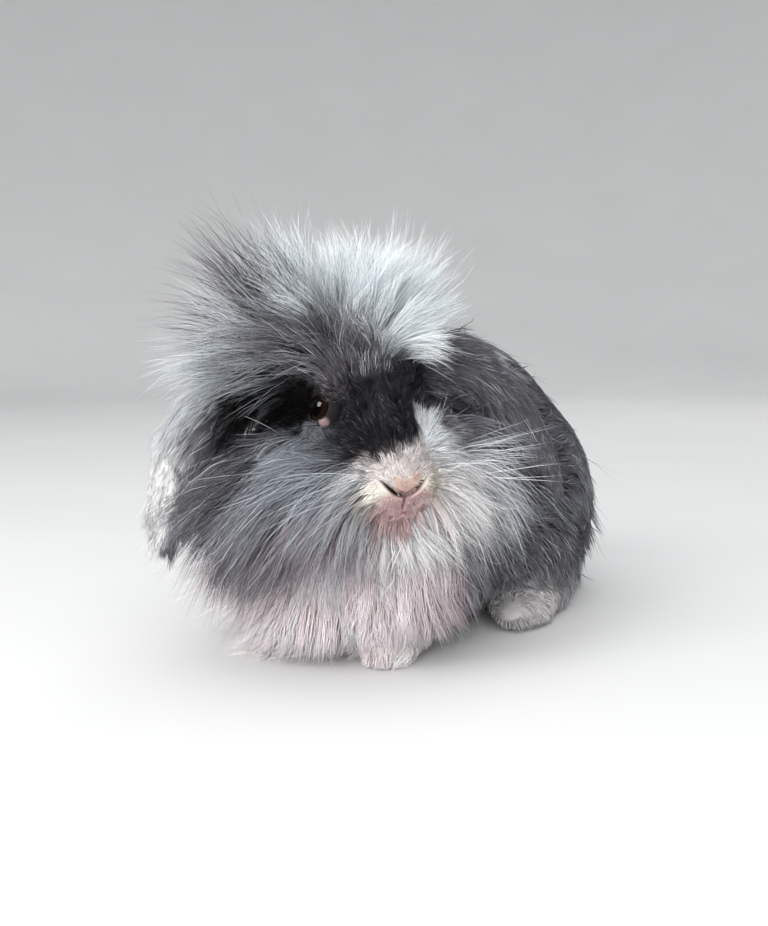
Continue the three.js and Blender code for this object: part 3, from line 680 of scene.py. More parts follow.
BODY_ZONES = {
    "coat_ruff": [
        ([-42, -66, 96], 18, [-0.5, 0.5, -0.7], 42, SMOKE, 52, 0.6, 0.15, 0.1),
        ([52, -60, 96], 18, [0.6, 0.5, -0.5], 42, SMOKE, 52, 0.6, 0.2, 0.1),
        ([5, -45, 126], 18, [0, 0.9, -0.1], 42, SMOKE, 52, 0.6, 0.2, 0.1),
    ],
    "coat_bib": [
        # The bib: cream-white hair whose pink tint is painted bounce light.
        ([28, -104, 60], 20, [0.1, -0.1, -1], 40, CREAM_WITH_PAINTED_PINK_LIGHT, 56, 0.55, 0.1, 0),
        ([22, -98, 25], 18, [0, -0.3, -1], 18, CREAM_WITH_PAINTED_PINK_LIGHT, 56, 0.55, 0.3, 0),
        ([-25, -85, 45], 17, [-0.8, -0.4, -0.6], 46, CREAM_WITH_PAINTED_PINK_LIGHT, 56, 0.55, 0.25, 0),
        ([-44, -70, 40], 18, [-1, -0.3, -0.3], 62, CREAM_WITH_PAINTED_PINK_LIGHT, 56, 0.55, 0.25, 0),
        ([-32, -78, 22], 14, [-0.85, -0.35, -0.4], 44, CREAM_WITH_PAINTED_PINK_LIGHT, 56, 0.55, 0.25, 0),
        # Painted shade on the side of the bib.
        ([60, -80, 45], 16, [0.5, 0, -0.85], 32, PAINTED_SHADE_PINK_GREY, 50, 0.6, 0.15, 0),
        ([-52, -45, 48], 18, [-0.3, 0.6, -0.7], 34, SILVER, 30, 0.85, 0.15, 0),
        ([52, -45, 48], 18, [0.2, 0.6, -0.7], 34, SMOKE, 30, 0.85, 0.15, 0),
    ],
    "coat_back": [
        ([0, 0, 138], 30, [0, 1, 0], 26, SMOKE, 38, 0.75, 0.2, 0.1),
        ([0, 70, 140], 32, [0, 1, -0.3], 26, SMOKE, 38, 0.75, 0.15, 0.1),
    ],
    "coat_rump": [
        ([0, 122, 92], 28, [0, 0.3, -1], 22, SMOKE, 38, 0.75, 0.1, 0.1),
    ],
    "coat_flank_right": [
        ([-58, 0, 90], 28, [-0.2, 0.85, -0.5], 28, SMOKE, 40, 0.7, 0.2, 0.1),
        ([-54, 5, 33], 24, [0, 0.7, -0.6], 26, SMOKE, 34, 0.8, 0.2, 0.05),
    ],
    "coat_flank_left": [
        ([58, 0, 90], 28, [0.3, 0.8, -0.3], 30, SMOKE, 42, 0.7, 0.2, 0.1),
        ([54, 5, 33], 24, [0, 0.7, -0.6], 26, SMOKE, 34, 0.8, 0.2, 0.05),
    ],
    "coat_haunch_right": [
        ([-76, 62, 66], 28, [0, 0.8, -0.6], 26, SMOKE, 38, 0.75, 0.15, 0.05),
        ([-52, 110, 48], 24, [0, 0.4, -0.9], 22, SMOKE, 38, 0.75, 0.12, 0.05),
    ],
    "coat_haunch_left": [
        ([76, 62, 66], 28, [0, 0.8, -0.6], 26, SMOKE, 38, 0.75, 0.15, 0.05),
        ([52, 110, 48], 24, [0, 0.4, -0.9], 22, SMOKE, 38, 0.75, 0.12, 0.05),
    ],
    "coat_feet": [
        ([0, 20, 0], 40, [0, 1, 0], 4, SILVER, 5, 1.4, 0, 0),
        *mirrored([26, -80, 12], 12, [0, -0.6, -0.8], 3, WHITE, 80, 0.5, 0.12, 0),
        *mirrored([59, 8, 8], 18, [0, -0.6, -0.8], 3.2, WHITE, 80, 0.5, 0.12, 0),
        *mirrored([60, 55, 6], 16, [0, -0.8, -0.4], 7, SILVER, 45, 0.9, 0.15, 0),
    ],
    "coat_tail": [
        ([0, 130, 76], 11, [0, 0.6, 0.8], 22, STEEL, 160, 0.6, 0.3, 0),
        ([0, 128, 52], 10, [0, 0.8, 0.2], 17, WHITE, 160, 0.6, 0.3, 0),
    ],
}
# How each piece of the coat is drawn: the spans along a strand, the share of its length where it turns to
# the colour of its tip, how much its locks differ in tone, the share of its hairs that are silver, and
# the material slot.
BODY_HAIR = (3, 0.5, 0.8, 0.08, "fur_grey")
COAT_PIECES = {
    "coat_face": (2, 0.6, 1.2, 0.05, "fur_dark"),
    "coat_cheek_right": (5, 0.35, 0.75, 0.12, "fur_grey"),
    "coat_jowl_right": (5, 0.35, 0.8, 0.14, "fur_grey"),
    "coat_cheek_left": (5, 0.35, 0.8, 0.2, "fur_grey"),
    "coat_beard": (4, 0.3, 0.6, 0.1, "fur_white"),
    "coat_crest_right": (5, 0.42, 1.0, 0.15, "fur_grey"),
    "coat_crest_left": (5, 0.25, 0.7, 0.1, "fur_grey"),
    "coat_temples": (5, 0.58, 1.0, 0.1, "fur_grey"),
    "coat_nape": (4, 0.4, 1.0, 0.1, "fur_grey"),
    "coat_ruff": (4, 0.4, 1.0, 0.1, "fur_grey"),
    "coat_bib": (3, 0.3, 0.35, 0.0, "fur_white"),
    "coat_back": BODY_HAIR,
    "coat_rump": BODY_HAIR,
    "coat_flank_right": BODY_HAIR,
    "coat_flank_left": BODY_HAIR,
    "coat_haunch_right": BODY_HAIR,
    "coat_haunch_left": BODY_HAIR,
    "coat_feet": (2, 0.5, 0.4, 0.0, "fur_white"),
    "coat_tail": (3, 0.4, 0.6, 0.05, "fur_grey"),
    "coat_ear_right": (3, 0.4, 0.7, 0.06, "fur_grey"),
    "coat_ear_left": (3, 0.4, 0.7, 0.1, "fur_grey"),
}


def ripple(points, scale, seed, waves=7):
    """A smooth wandering value from about -1 to 1, whose bumps are about the given size."""
    draw = np.random.default_rng(seed)
    ways = unit(draw.normal(size=(waves, 3))) * (2 * math.pi / scale) * draw.uniform(0.6, 1.4, (waves, 1))
    return np.sin(points @ ways.T + draw.uniform(0, 2 * math.pi, waves)).sum(1) / math.sqrt(waves)


class Chart:
    """The zones of the coat as arrays, and what they say at any points. Its sizes are a zone's length of
    hair, strands in a square centimetre, width of a strand, lift and sag."""

    def __init__(self):
        rows = [
            (name, name in HEAD_ZONES, *zone)
            for name, zones in {**HEAD_ZONES, **BODY_ZONES}.items()
            for zone in zones
        ]
        self.pieces, of_head, places, radii, lies, lengths, colours, *rest = zip(*rows)
        of_head, places, lies = np.array(of_head), np.array(places) * MM, np.array(lies, float)
        self.places = np.where(of_head[:, None], from_head(places), places + body_origin)
        self.lies = unit(np.where(of_head[:, None], lies @ head_axes, lies))
        self.radii = np.array(radii) * MM
        self.colours = np.array(colours)
        self.sizes = np.array([lengths, *rest], float).T
        self.belongs = np.where(of_head, 1, -1)

    def weights(self, points, sharper=1.0):
        """The share of each zone at each point: the nearest counts most, on its own side of the neck."""
        NECK_BLEND = 0.004
        torso = distance_to_form(points, *FORMS[0])
        head = distance_to_form(points, *FORMS[1])
        lean = np.clip((torso - head) / NECK_BLEND, -8, 8)
        away = ((points[:, None] - self.places) ** 2).sum(2)
        score = -away / (2 * (self.radii / sharper) ** 2) + lean[:, None] * self.belongs
        shares = np.exp(score - score.max(1, keepdims=True))
        return shares / shares.sum(1, keepdims=True)

    def colour(self, points):
        """The coat's markings, with edges that wander and run into each other by a few millimetres."""
        BUMPS, HEIGHT, SHARPER = 0.006, 0.0011, 1.5
        wander = np.stack([ripple(points, BUMPS, seed) for seed in (1, 2, 3)], axis=1)
        shares = self.weights(points + wander * HEIGHT, SHARPER)
        return np.tensordot(shares, self.colours, 1)


chart = Chart()


def ear_place(points):
    """For points on the ears: which ear, the share of its length, and how far across and out they are."""
    shares = np.linspace(0, 1, 60)
    best = np.full(len(points), np.inf)
    found = np.zeros((len(points), 4))
    for side in (1, -1):
        middle, _, across, out = ear_frame(side, shares)
        for share, m, a, o in zip(shares, middle, across, out):
            away = points - m
            far = np.linalg.norm(away, axis=1)
            nearer = far < best
            best[nearer] = far[nearer]
            wide = EAR_WIDTH / 2 * max(round_end(share, 0.5), 0.2)
            aside = away[nearer] @ a / wide
            raised = away[nearer] @ o + ear_cup(share) * aside**2
            ones = np.ones(len(aside))
            found[nearer] = np.stack([side * ones, share * ones, aside, raised], axis=1)
    return found


def blend(a, b, share_of_b):
    """Root and tip colours between two pairs, for many points."""
    return lerp(a, b, share_of_b[:, None, None])


def ear_colour(points):
    """Grey outside and dull pink in the cup. The right ear is pale along its rear edge and its tip and
    carries painted shade, near black, at the front of its root, and the left one has a light streak."""
    side, share, aside, raised = ear_place(points).T
    mixed = ripple(points, 0.009, 12)
    shown = blend(ASH, SMOKE, np.clip(0.5 + 0.5 * mixed, 0, 1))
    pale = (side < 0).astype(float)
    # Painted shade: near-black at the front of the right ear's root, where the hollow beside the face lies.
    shown = blend(shown, PAINTED_SHADE_BLACK, (1 - smoothstep(share, 0.45, 0.65)) * smoothstep(-aside, -0.2, 0.4) * pale)
    shown = blend(shown, SILVER, smoothstep(aside + 0.25 * mixed, -0.5, 0.4) * pale)
    streak = np.exp(-((share - 0.5 - 0.1 * aside) / 0.06) ** 2) * smoothstep(-aside, -0.2, 0.5)
    shown = blend(shown, SILVER, streak * (1 - pale))
    tip = smoothstep(share + 0.05 * mixed, 0.6, 0.74) * smoothstep(aside + 0.2 * mixed, -0.5, 0.1)
    shown = blend(shown, PALE, tip * pale)
    inside = smoothstep(-raised, 0, 0.001) * (1 - 0.8 * smoothstep(share, 0.5, 0.8))
    return blend(shown, INNER_EAR, inside * lerp(0.6, 0.2, pale))


def marking(points):
    """The coat's colour at any points of the animal, with its pink at the nose and the lips."""
    PINK = 0.6
    colour = chart.colour(points)
    off_middle, _ = distance_to_line(points, FACE_MIDDLE)
    colour = blend(colour, LIP, PINK * smoothstep(-off_middle, -4.5, -0.8))
    on_ear = on_free_ear(points)
    if on_ear.any():
        colour[on_ear] = ear_colour(points[on_ear])
    return colour


def mesh_arrays(mesh):
    """Points, triangles and smooth normals of a mesh."""
    mesh.calc_loop_triangles()
    corners = rows_of(mesh.loop_triangles, "vertices").astype(int)
    return rows_of(mesh.vertices, "co"), corners, rows_of(mesh.vertices, "normal")


def set_colours(mesh, colours):
    layer = mesh.attributes.new("Markings", "FLOAT_COLOR", "POINT")
    full = np.ones((len(colours), 4), np.float32)
    full[:, :3] = colours
    layer.data.foreach_set("color", full.ravel())


def near_lid_corner(points, side):
    """How near points are to the pale front corner of the lids: 1 there and 0 away."""
    away = unit(points - eye_middles[side])
    return smoothstep(away @ head_way(side, LID_CORNER_WAY), 0.955, 0.99)


def colour_skin(mesh):
    """The markings on the skin, with the nostrils painted dark as the shade inside them, the line of the
    mouth, and the lids.
    """
    RIM_WIDE, RIM_NARROW = 1.45, 1.2
    points, _, _ = mesh_arrays(mesh)
    shades = marking(points)
    colours = lerp(shades[:, 0], shades[:, 1], 0.25)
    folds = face_folds(points)[0]
    colours = lerp(colours, LIP_LINE, folds[2:].max(0)[:, None])
    # Painted shade: the nostril slits coloured dark for the shade inside them.
    colours = lerp(colours, NOSTRIL_PAINTED_SHADE, np.minimum(1, 1.5 * folds[:2].max(0))[:, None])
    for side in (1, -1):
        far, angle = eye_angles(points, side)
        rim = smoothstep(-angle, -RIM_WIDE, -RIM_NARROW) * (far < 0.014)
        lid = lerp(LID_RIM, LID_CORNER, near_lid_corner(points, side)[:, None])
        colours = lerp(colours, lid, rim[:, None])
    set_colours(mesh, colours)


skin = add_skin()
colour_skin(skin.data)
skin_points, skin_corners, skin_normals = mesh_arrays(skin.data)


def scatter(density_at, seed):
    """Roots spread over the skin, so many in a square centimetre, and the skin's normals there."""
    SQUARE_CM = 1e4
    draw = np.random.default_rng(seed)
    a, b, c = (skin_points[skin_corners[:, i]] for i in range(3))
    areas = np.linalg.norm(np.cross(b - a, c - a), axis=1) / 2
    expected = areas * density_at((a + b + c) / 3) * SQUARE_CM
    count = (expected + draw.random(len(expected))).astype(int)
    chosen = np.repeat(np.arange(len(areas)), count)
    u, v = draw.random((2, len(chosen), 1))
    fold = (u + v) > 1
    u, v = np.where(fold, 1 - u, u), np.where(fold, 1 - v, v)
    roots = a[chosen] + (b - a)[chosen] * u + (c - a)[chosen] * v
    na, nb, nc = (skin_normals[skin_corners[chosen, i]] for i in range(3))
    return roots, unit(na * (1 - u - v) + nb * u + nc * v)


def nearest_of_some(roots, spacing, draw):
    """For every root the nearest of a few of them, one in so many."""
    chosen = draw.choice(len(roots), max(1, int(len(roots) / spacing)), replace=False)
    tree = kdtree.KDTree(len(chosen))
    for index in chosen:
        tree.insert(roots[index], index)
    tree.balance()
    return np.array([tree.find(root)[1] for root in roots])


def strand_paths(roots, normals, groom, steps, draw):
    """Paths of hair from the skin out to the tip, gathered into wisps of a few hairs within larger locks,
    but for the loose ones. Short hair is laid flat."""
    # The hairs to a lock and to a wisp, and the share of loose ones.
    LOCK, WISP, LOOSE = 70, 11, 0.07
    count = len(roots)
    shares = np.linspace(0, 1, steps + 1)[None, :, None]
    lock = nearest_of_some(roots, LOCK, draw)
    wisp = nearest_of_some(roots, WISP, draw)
    turns = draw.normal(size=(3, count, 3))
    loose = draw.random(count) < LOOSE
    own = np.where(loose, 0.3, 0.07)[:, None]
    stray = (0.2 * turns[0][lock] + 0.13 * turns[1][wisp]) * groom["stray"] + own * turns[2]
    way = unit(groom["lie"] + stray)
    short = smoothstep(-groom["length"], -0.006, -0.003)
    steep = (way * normals).sum(1)
    way = unit(way - normals * (0.85 * (np.minimum(steep, 0) + short * np.maximum(steep, 0)))[:, None])
    sideways = unit(np.cross(way, normals))
    uneven = draw.uniform(0.8, 1.12, (2, count))
    long = (groom["length"] * uneven[0] * uneven[1][lock])[:, None, None]
    curl = (0.22 * turns[0, :, 0][lock] + 0.12 * turns[2, :, 0])[:, None, None] * shares**2
    beat, start = draw.uniform(0.8, 1.7, (2, count))
    swing = 0.05 * turns[1, :, 1][wisp] + 0.015 * turns[2, :, 1]
    wave = np.sin(2 * math.pi * (shares * beat[wisp][:, None, None] + 4 * start[wisp][:, None, None]))
    paths = (
        roots[:, None]
        - normals[:, None] * 0.0008
        + way[:, None] * shares * long
        + normals[:, None] * shares * (1 - 0.5 * shares) * long * groom["lift"][:, None, None]
        + sideways[:, None] * (curl + wave * shares * swing[:, None, None]) * long
        - UP * shares**2 * long * groom["sag"][:, None, None]
    )
    for leader, strength in ((lock, 0.25), (wisp, 0.5)):
        led = paths[leader] + (roots - roots[leader])[:, None] * (1 - 0.8 * shares)
        hold = np.where(loose, 0, strength * draw.uniform(0.5, 1, count))[:, None, None]
        paths = lerp(paths, led, hold * shares**0.8)
    return shorten_to_room(keep_outside(paths, groom["rise"], shares)), lock, wisp


def keep_outside(paths, rise, shares):
    """Lifts the paths clear of the flesh, ever higher towards their tips, and of the floor."""
    flat = paths[:, 1:].reshape(-1, 3)
    wanted = (rise[:, None] * np.minimum(1, 2.2 * shares[0, 1:, 0])).ravel()
    for _ in range(2):
        here = distance_to_flesh(flat)
        low = here < wanted
        if low.any():
            flat[low] += slope_of_flesh(flat[low], here[low]) * (wanted[low] - here[low])[:, None]
    flat[:, 2] = np.maximum(flat[:, 2], 0.001)
    paths[:, 1:] = flat.reshape(paths[:, 1:].shape)
    return paths


ROOM = 0.03 * np.array(cad_high - cad_low) + 0.008
ROOM_LOW, ROOM_HIGH = np.array(cad_low) - ROOM, np.array(cad_high) + ROOM


def shorten_to_room(paths):
    """Shortens the strands that would reach past the room around the solids."""
    root = paths[:, :1]
    reach = paths - root
    limit = np.where(reach > 0, ROOM_HIGH - root, ROOM_LOW - root)
    share = np.where(np.abs(reach) > 1e-6, limit / np.where(np.abs(reach) > 1e-6, reach, 1), 1)
    return root + reach * np.clip(share.min((1, 2)), 0, 1)[:, None, None]


def strand_mesh(name, paths, widths, facing, colours, places, turn=0.5, flatness=0.4):
    """One closed, tapered, three-sided strand along each path, flat side out, all joined in one mesh."""
    count, rings = paths.shape[0], paths.shape[1] - 1
    along = unit(np.gradient(paths, axis=1))
    side = unit(np.cross(along[:, 0], facing))
    across = unit(side[:, None] - along * (along * side[:, None]).sum(2, keepdims=True))
    out = np.cross(across, along)
    shares = np.linspace(0, 1, rings + 1)
    taper = np.minimum(1, 0.55 + 1.5 * shares) * (1 - shares) ** 0.55
    half = widths[:, None, None] * taper[None, :, None] / 2
    turns = np.array([math.pi / 2, math.pi * 7 / 6, math.pi * 11 / 6])
    corners = [
        paths + half * (across * math.cos(turn) + out * math.sin(turn) * flatness) for turn in turns
    ]
    rings_of_points = np.stack([corner[:, :rings] for corner in corners], axis=2)
    points = np.concatenate([rings_of_points.reshape(count, -1, 3), paths[:, -1:]], axis=1)
    each = points.shape[1]
    faces = [[0, 2, 1]]
    for ring in range(rings - 1):
        for a in range(3):
            b = (a + 1) % 3
            low, high = 3 * ring, 3 * ring + 3
            faces += [[low + a, low + b, high + b], [low + a, high + b, high + a]]
    last = 3 * (rings - 1)
    faces += [[last + a, last + (a + 1) % 3, each - 1] for a in range(3)]
    faces = (np.array(faces)[None] + (np.arange(count) * each)[:, None, None]).reshape(-1, 3)
    mesh = bpy.data.meshes.new(name)
    mesh.vertices.add(count * each)
    mesh.vertices.foreach_set("co", points.ravel())
    mesh.loops.add(faces.size)
    mesh.loops.foreach_set("vertex_index", faces.ravel().astype(np.int32))
    mesh.polygons.add(len(faces))
    mesh.polygons.foreach_set("loop_start", np.arange(0, faces.size, 3, dtype=np.int32))
    mesh.polygons.foreach_set("use_smooth", np.ones(len(faces), bool))
    mesh.update(calc_edges=True)
    ring_share = np.append(np.repeat(shares[:rings], 3), 1)
    tip_share = smoothstep(ring_share, turn - 0.3, turn + 0.3)[None, :, None]
    tone = lerp(colours["root"][:, None], colours["tip"][:, None], tip_share)
    set_colours(mesh, tone.reshape(-1, 3))
    PATCH = 0.003
    spot = np.stack([np.append(np.tile([0, 0.5, 1], rings), 0.5), ring_share], axis=1)
    unwrapped = (places[:, None] + (spot[None] - 0.5) * PATCH).reshape(-1, 2)
    layer = mesh.uv_layers.new(name="OFBake")
    layer.data.foreach_set("uv", unwrapped[faces.ravel()].ravel())
    piece = bpy.data.objects.new(name, mesh)
    bpy.context.scene.collection.objects.link(piece)
    return piece


def unwrap(points, middle, pole):
    """The skin laid out flat round a pole: the middle of the sheet is the pole, the rim is opposite."""
    pole = unit(pole)
    first = unit(np.cross(pole, [0.3, 0.5, 0.81]))
    second = np.cross(pole, first)
    away = unit(points - middle)
    off = np.arccos(np.clip(away @ pole, -1, 1)) / math.pi
    turn = np.arctan2(away @ second, away @ first)
    flat = np.stack([off * np.cos(turn), off * np.sin(turn)], axis=1)
    low, high = flat.min(0), flat.max(0)
    return 0.01 + 0.98 * (flat - low) / (high - low)


def shades_of(base, lock, wisp, under, name, draw):
    """Root and tip colours: each lock and each hair a little lighter or darker than its markings, some
    with a silver tip, and the under-hairs near the colour of their roots all the way."""
    _, _, contrast, silvered, _ = COAT_PIECES[name]
    tones = draw.normal(size=(3, len(base)))
    tone = np.exp(contrast * (0.13 * tones[0][lock] + 0.12 * tones[1][wisp] + 0.2 * tones[2]))[:, None]
    root, tip = base[:, 0], base[:, 1]
    bright = (draw.random(len(base)) < silvered) & ~under
    tip = lerp(tip, SNOW[1], (0.5 * bright * np.minimum(1, 12 * tip.mean(1)))[:, None])
    tip = lerp(tip, root, (0.4 * under)[:, None])
    return {"root": np.clip(root * tone, 0.003, 0.92), "tip": np.clip(tip * tone, 0.003, 0.95)}


def grow_strands(name, roots, normals, groom, width, places, draw):
    """One piece of the coat: wide, short under-hairs below fine long ones."""
    UNDER_SHARE, UNDER_LENGTH, UNDER_WIDTH = 0.3, 0.78, 1.9
    steps, turn = COAT_PIECES[name][:2]
    count = len(roots)
    under = draw.random(count) < UNDER_SHARE
    groom["length"] = groom["length"] * np.where(under, UNDER_LENGTH, 1)
    groom["rise"] = np.minimum(0.003, groom["length"] * 0.12)
    paths, lock, wisp = strand_paths(roots, normals, groom, steps, draw)
    widths = width * np.where(under, UNDER_WIDTH, draw.uniform(0.5, 1.1, count))
    facing = normals + groom["front"] + 0.25 * draw.normal(size=(count, 3))
    colours = shades_of(marking(roots), lock, wisp, under, name, draw)
    return strand_mesh(name, paths, widths, facing, colours, places, turn)


def bare(points):
    """Whether no hair grows at points: in the folds of the face and at the edges of the lids."""
    FOLD, LID_REACH, LID_EDGE, LID_FRONT = 0.35, 0.0135, 0.93, 0.8
    found = face_folds(points)[0].max(0) >= FOLD
    for side in (1, -1):
        far, angle = eye_angles(points, side)
        edge = (angle <= LID_EDGE) | (near_lid_corner(points, side) >= LID_FRONT)
        found |= (far <= LID_REACH) & edge
    return found


# What is left of the hair's length right beside the left eye and the right one.
SHORT_BY_EYE = {1: 0.8, -1: 0.4}


def grow_coat():
    """All strands of the head and body, in one piece for each part of the coat."""
    def density_at(points):
        return np.where(on_free_ear(points), 0, chart.weights(points) @ chart.sizes[:, 1])

    roots, normals = scatter(density_at, 5)
    hairy = ~bare(roots)
    roots, normals = roots[hairy], normals[hairy]
    shares = chart.weights(roots)
    length, _, width, lift, sag = (shares @ chart.sizes).T
    lie = unit(shares @ chart.lies)
    for side, shortest in SHORT_BY_EYE.items():
        length = length * lerp(shortest, 1, smoothstep(eye_angles(roots, side)[0], 0.012, 0.024))
    names = np.array(chart.pieces)[shares.argmax(1)]
    made = []
    for name in sorted(set(chart.pieces)):
        mine = names == name
        of_head = name in HEAD_ZONES
        draw = np.random.default_rng(sum(map(ord, name)))
        long_hair = smoothstep(length[mine], 6, 30)
        groom = {
            "lie": lie[mine], "length": length[mine] * MM, "lift": lift[mine], "sag": sag[mine],
            "stray": lerp(0.5, 1 if of_head else 0.75, long_hair)[:, None],
            "front": (0.6 * long_hair)[:, None] * (-head_y + 0.2 * head_z) if of_head else 0,
        }
        middle, pole = (head_middle, -head_y) if of_head else (body_origin + [0, 0.02, 0.05], UP)
        places = unwrap(roots[mine], middle, pole)
        made.append(grow_strands(name, roots[mine], normals[mine], groom, width[mine] * MM, places, draw))
    return made


coat_pieces = grow_coat()


def grow_ear(side, name):
    """The hair of one ear: it lies along the outer side and hangs past both edges as a fringe."""
    def density_at(points):
        sides, shares, _, raised = ear_place(points).T
        density = lerp(42, 80, smoothstep(raised, -0.001, 0.001))
        density = lerp(density, 2 * density, smoothstep(shares, 0.6, 0.75))
        return np.where(on_free_ear(points) & (sides == side), density, 0)

    roots, normals = scatter(density_at, 40 + side)
    _, share, aside, raised = ear_place(roots).T
    draw = np.random.default_rng(50 + side)
    _, along, across, _ = ear_frame(side, share)
    edge = smoothstep(np.abs(aside), 0.5, 1.0)
    outer = smoothstep(raised, -0.001, 0.001)
    end = smoothstep(share, 0.58, 0.75)
    lie = along + across * (np.sign(aside) * edge * 0.4)[:, None] - UP * 0.15
    length = lerp(8, 17, outer) + 12 * edge * smoothstep(share, 0.05, 0.4)
    length = lerp(length, 7 + 4 * edge, end)
    groom = {
        "lie": unit(lie), "length": length * MM, "stray": lerp(0.6, 0.12, end)[:, None], "front": 0,
        "lift": 0.1 + 0.1 * outer + 0.1 * end, "sag": 0.05 + 0.2 * edge,
    }
    places = np.stack([0.02 + 0.96 * share, 0.25 + 0.2 * aside + 0.5 * (raised < 0)], axis=1)
    return grow_strands(name, roots, normals, groom, lerp(0.5, 0.45, end) * MM, places, draw)


coat_pieces += [grow_ear(-1, "coat_ear_right"), grow_ear(1, "coat_ear_left")]


def add_eye(side, name):
    """A wet, dark eyeball that bulges a little in front, with a brown ring round a wide pupil. The edges of
    the two are in degrees off its axis."""
    BULGE = 0.05
    PUPIL_EDGE, RING_EDGE = (30, 36), (40, 56)
    bpy.ops.mesh.primitive_uv_sphere_add(segments=64, ring_count=48, radius=EYE_RADIUS)
    eye = bpy.context.object
    eye.name = eye.data.name = name
    axis = head_way(side, EYE_WAY)

    def bulge(points):
        ahead = smoothstep(unit(points) @ axis, 0.72, 1.0)
        return points * (1 + BULGE * ahead)[:, None] + eye_middles[side]

    shape(eye, bulge)
    bpy.ops.object.shade_smooth()
    points, _, _ = mesh_arrays(eye.data)
    off = np.degrees(np.arccos(np.clip(unit(points - eye_middles[side]) @ axis, -1, 1)))
    brown = lerp(tint(24, 15, 12), tint(10, 7, 7), smoothstep(off, *RING_EDGE)[:, None])
    set_colours(eye.data, lerp(tint(4, 3, 4), brown, smoothstep(off, *PUPIL_EDGE)[:, None]))
    return eye


def grow_whiskers():
    """Long stiff hairs at the muzzle and the brows."""
    DROOP, RISE = 0.22, 0.004
    draw = np.random.default_rng(8)
    roots, ways, lengths = [], [], []
    for side in (1, -1):
        for row in range(3):
            for place in range(4):
                roots.append([side * (11 + 2 * place), -36 + 3.2 * place, -21 - 3.4 * row])
                back = -0.1 + 0.2 * place + draw.normal() * 0.08
                up = 0.25 - 0.2 * row + draw.normal() * 0.1
                ways.append([side, back, up])
                lengths.append(draw.uniform(34, 62))
        for place in range(3):
            roots.append([side * (15 + place), -12 + 3 * place, 13])
            ways.append([side * 0.7, -0.3 + draw.normal() * 0.2, 0.8])
            lengths.append(draw.uniform(20, 30))
    roots, ways = from_head(np.array(roots) * MM), unit(np.array(ways)) @ head_axes
    lengths = np.array(lengths)[:, None, None] * MM
    shares = np.linspace(0, 1, 7)[None, :, None]
    paths = roots[:, None] + ways[:, None] * shares * lengths - UP * DROOP * shares**2 * lengths
    paths[:, 1:] = keep_outside(paths, np.full(len(roots), RISE), shares)[:, 1:]
    colour = np.tile(SNOW[1], (len(roots), 1))
    places = unwrap(roots, head_middle, -head_y)
    facing = draw.normal(size=(len(roots), 3))
    widths = np.full(len(roots), WHISKER_WIDTH)
    return strand_mesh("whiskers", paths, widths, facing, {"root": colour, "tip": colour}, places, 1)


def add_claws():
    """A small bent claw at the end of every toe."""
    HALF_WIDTH, HALF_HEIGHT, LENGTH, RAISED, BEND = 0.0009, 0.0011, 0.0065, 0.0008, 0.0035
    claws = []
    for leg in legs:
        for middle, axes, half in leg[-TOES:]:
            bpy.ops.mesh.primitive_cone_add(vertices=10, radius1=1, radius2=0, depth=2)
            claw = bpy.context.object
            bpy.ops.object.mode_set(mode="EDIT")
            bpy.ops.mesh.select_all(action="SELECT")
            bpy.ops.mesh.subdivide(number_cuts=3)
            finish_edit()

            def place(points):
                share = (points[:, 2] + 1) / 2
                wide = points[:, 0] * HALF_WIDTH
                ahead = half[1] * 0.82 + share * LENGTH
                high = points[:, 1] * HALF_HEIGHT + RAISED - BEND * share**2
                return np.stack([wide, ahead, high], axis=1) @ axes + middle

            shape(claw, place)
            bpy.ops.object.shade_smooth()
            claws.append(claw)
    return join(claws, "claws")


eyes = [add_eye(1, "eyeball_left"), add_eye(-1, "eyeball_right")]
whiskers = grow_whiskers()
claws = add_claws()


def new_material(name):
    material = bpy.data.materials.new(name)
    material.use_nodes = True
    nodes = material.node_tree.nodes
    return material, nodes, material.node_tree.links, nodes["Principled BSDF"]


def speckled(nodes, links, fineness, detail=2):
    """A value that wanders through the whole of a piece."""
    place = nodes.new("ShaderNodeTexCoord")
    specks = nodes.new("ShaderNodeTexNoise")
    specks.inputs["Scale"].default_value = fineness
    specks.inputs["Detail"].default_value = detail
    links.new(place.outputs["Object"], specks.inputs["Vector"])
    return specks.outputs["Fac"]


def marked_material(name, roughness, fineness, detail, darkest, lightest):
    """The markings, made a little darker and lighter by specks."""
    material, nodes, links, shader = new_material(name)
    marks = nodes.new("ShaderNodeAttribute")
    marks.attribute_name = "Markings"
    level = nodes.new("ShaderNodeMapRange")
    level.inputs["To Min"].default_value = darkest
    level.inputs["To Max"].default_value = lightest
    links.new(speckled(nodes, links, fineness, detail), level.inputs["Value"])
    scaled = nodes.new("ShaderNodeVectorMath")
    scaled.operation = "SCALE"
    links.new(marks.outputs["Color"], scaled.inputs[0])
    links.new(level.outputs["Result"], scaled.inputs["Scale"])
    links.new(scaled.outputs["Vector"], shader.inputs["Base Color"])
    shader.inputs["Roughness"].default_value = roughness
    return material, nodes, links, shader


def hair_material(name, roughness, shine):
    """Hair with a soft shine."""
    material, _, _, shader = marked_material(name, roughness, 900, 2, 0.88, 1.1)
    shader.inputs["Specular IOR Level"].default_value = shine
    return material


def skin_material():
    """Skin under short fur, uneven in colour and finely rough."""
    material, nodes, links, shader = marked_material("fur_covered_skin", 0.8, 260, 4, 0.7, 1.15)
    bump = nodes.new("ShaderNodeBump")
    bump.inputs["Strength"].default_value = 0.5
    bump.inputs["Distance"].default_value = 0.0004
    links.new(speckled(nodes, links, 1600, 3), bump.inputs["Height"])
    links.new(bump.outputs["Normal"], shader.inputs["Normal"])
    return material


def eye_material():
    """A wet eye with a faint grain in its brown ring."""
    return marked_material("wet_eye", 0.04, 1400, 2, 0.75, 1.25)[0]


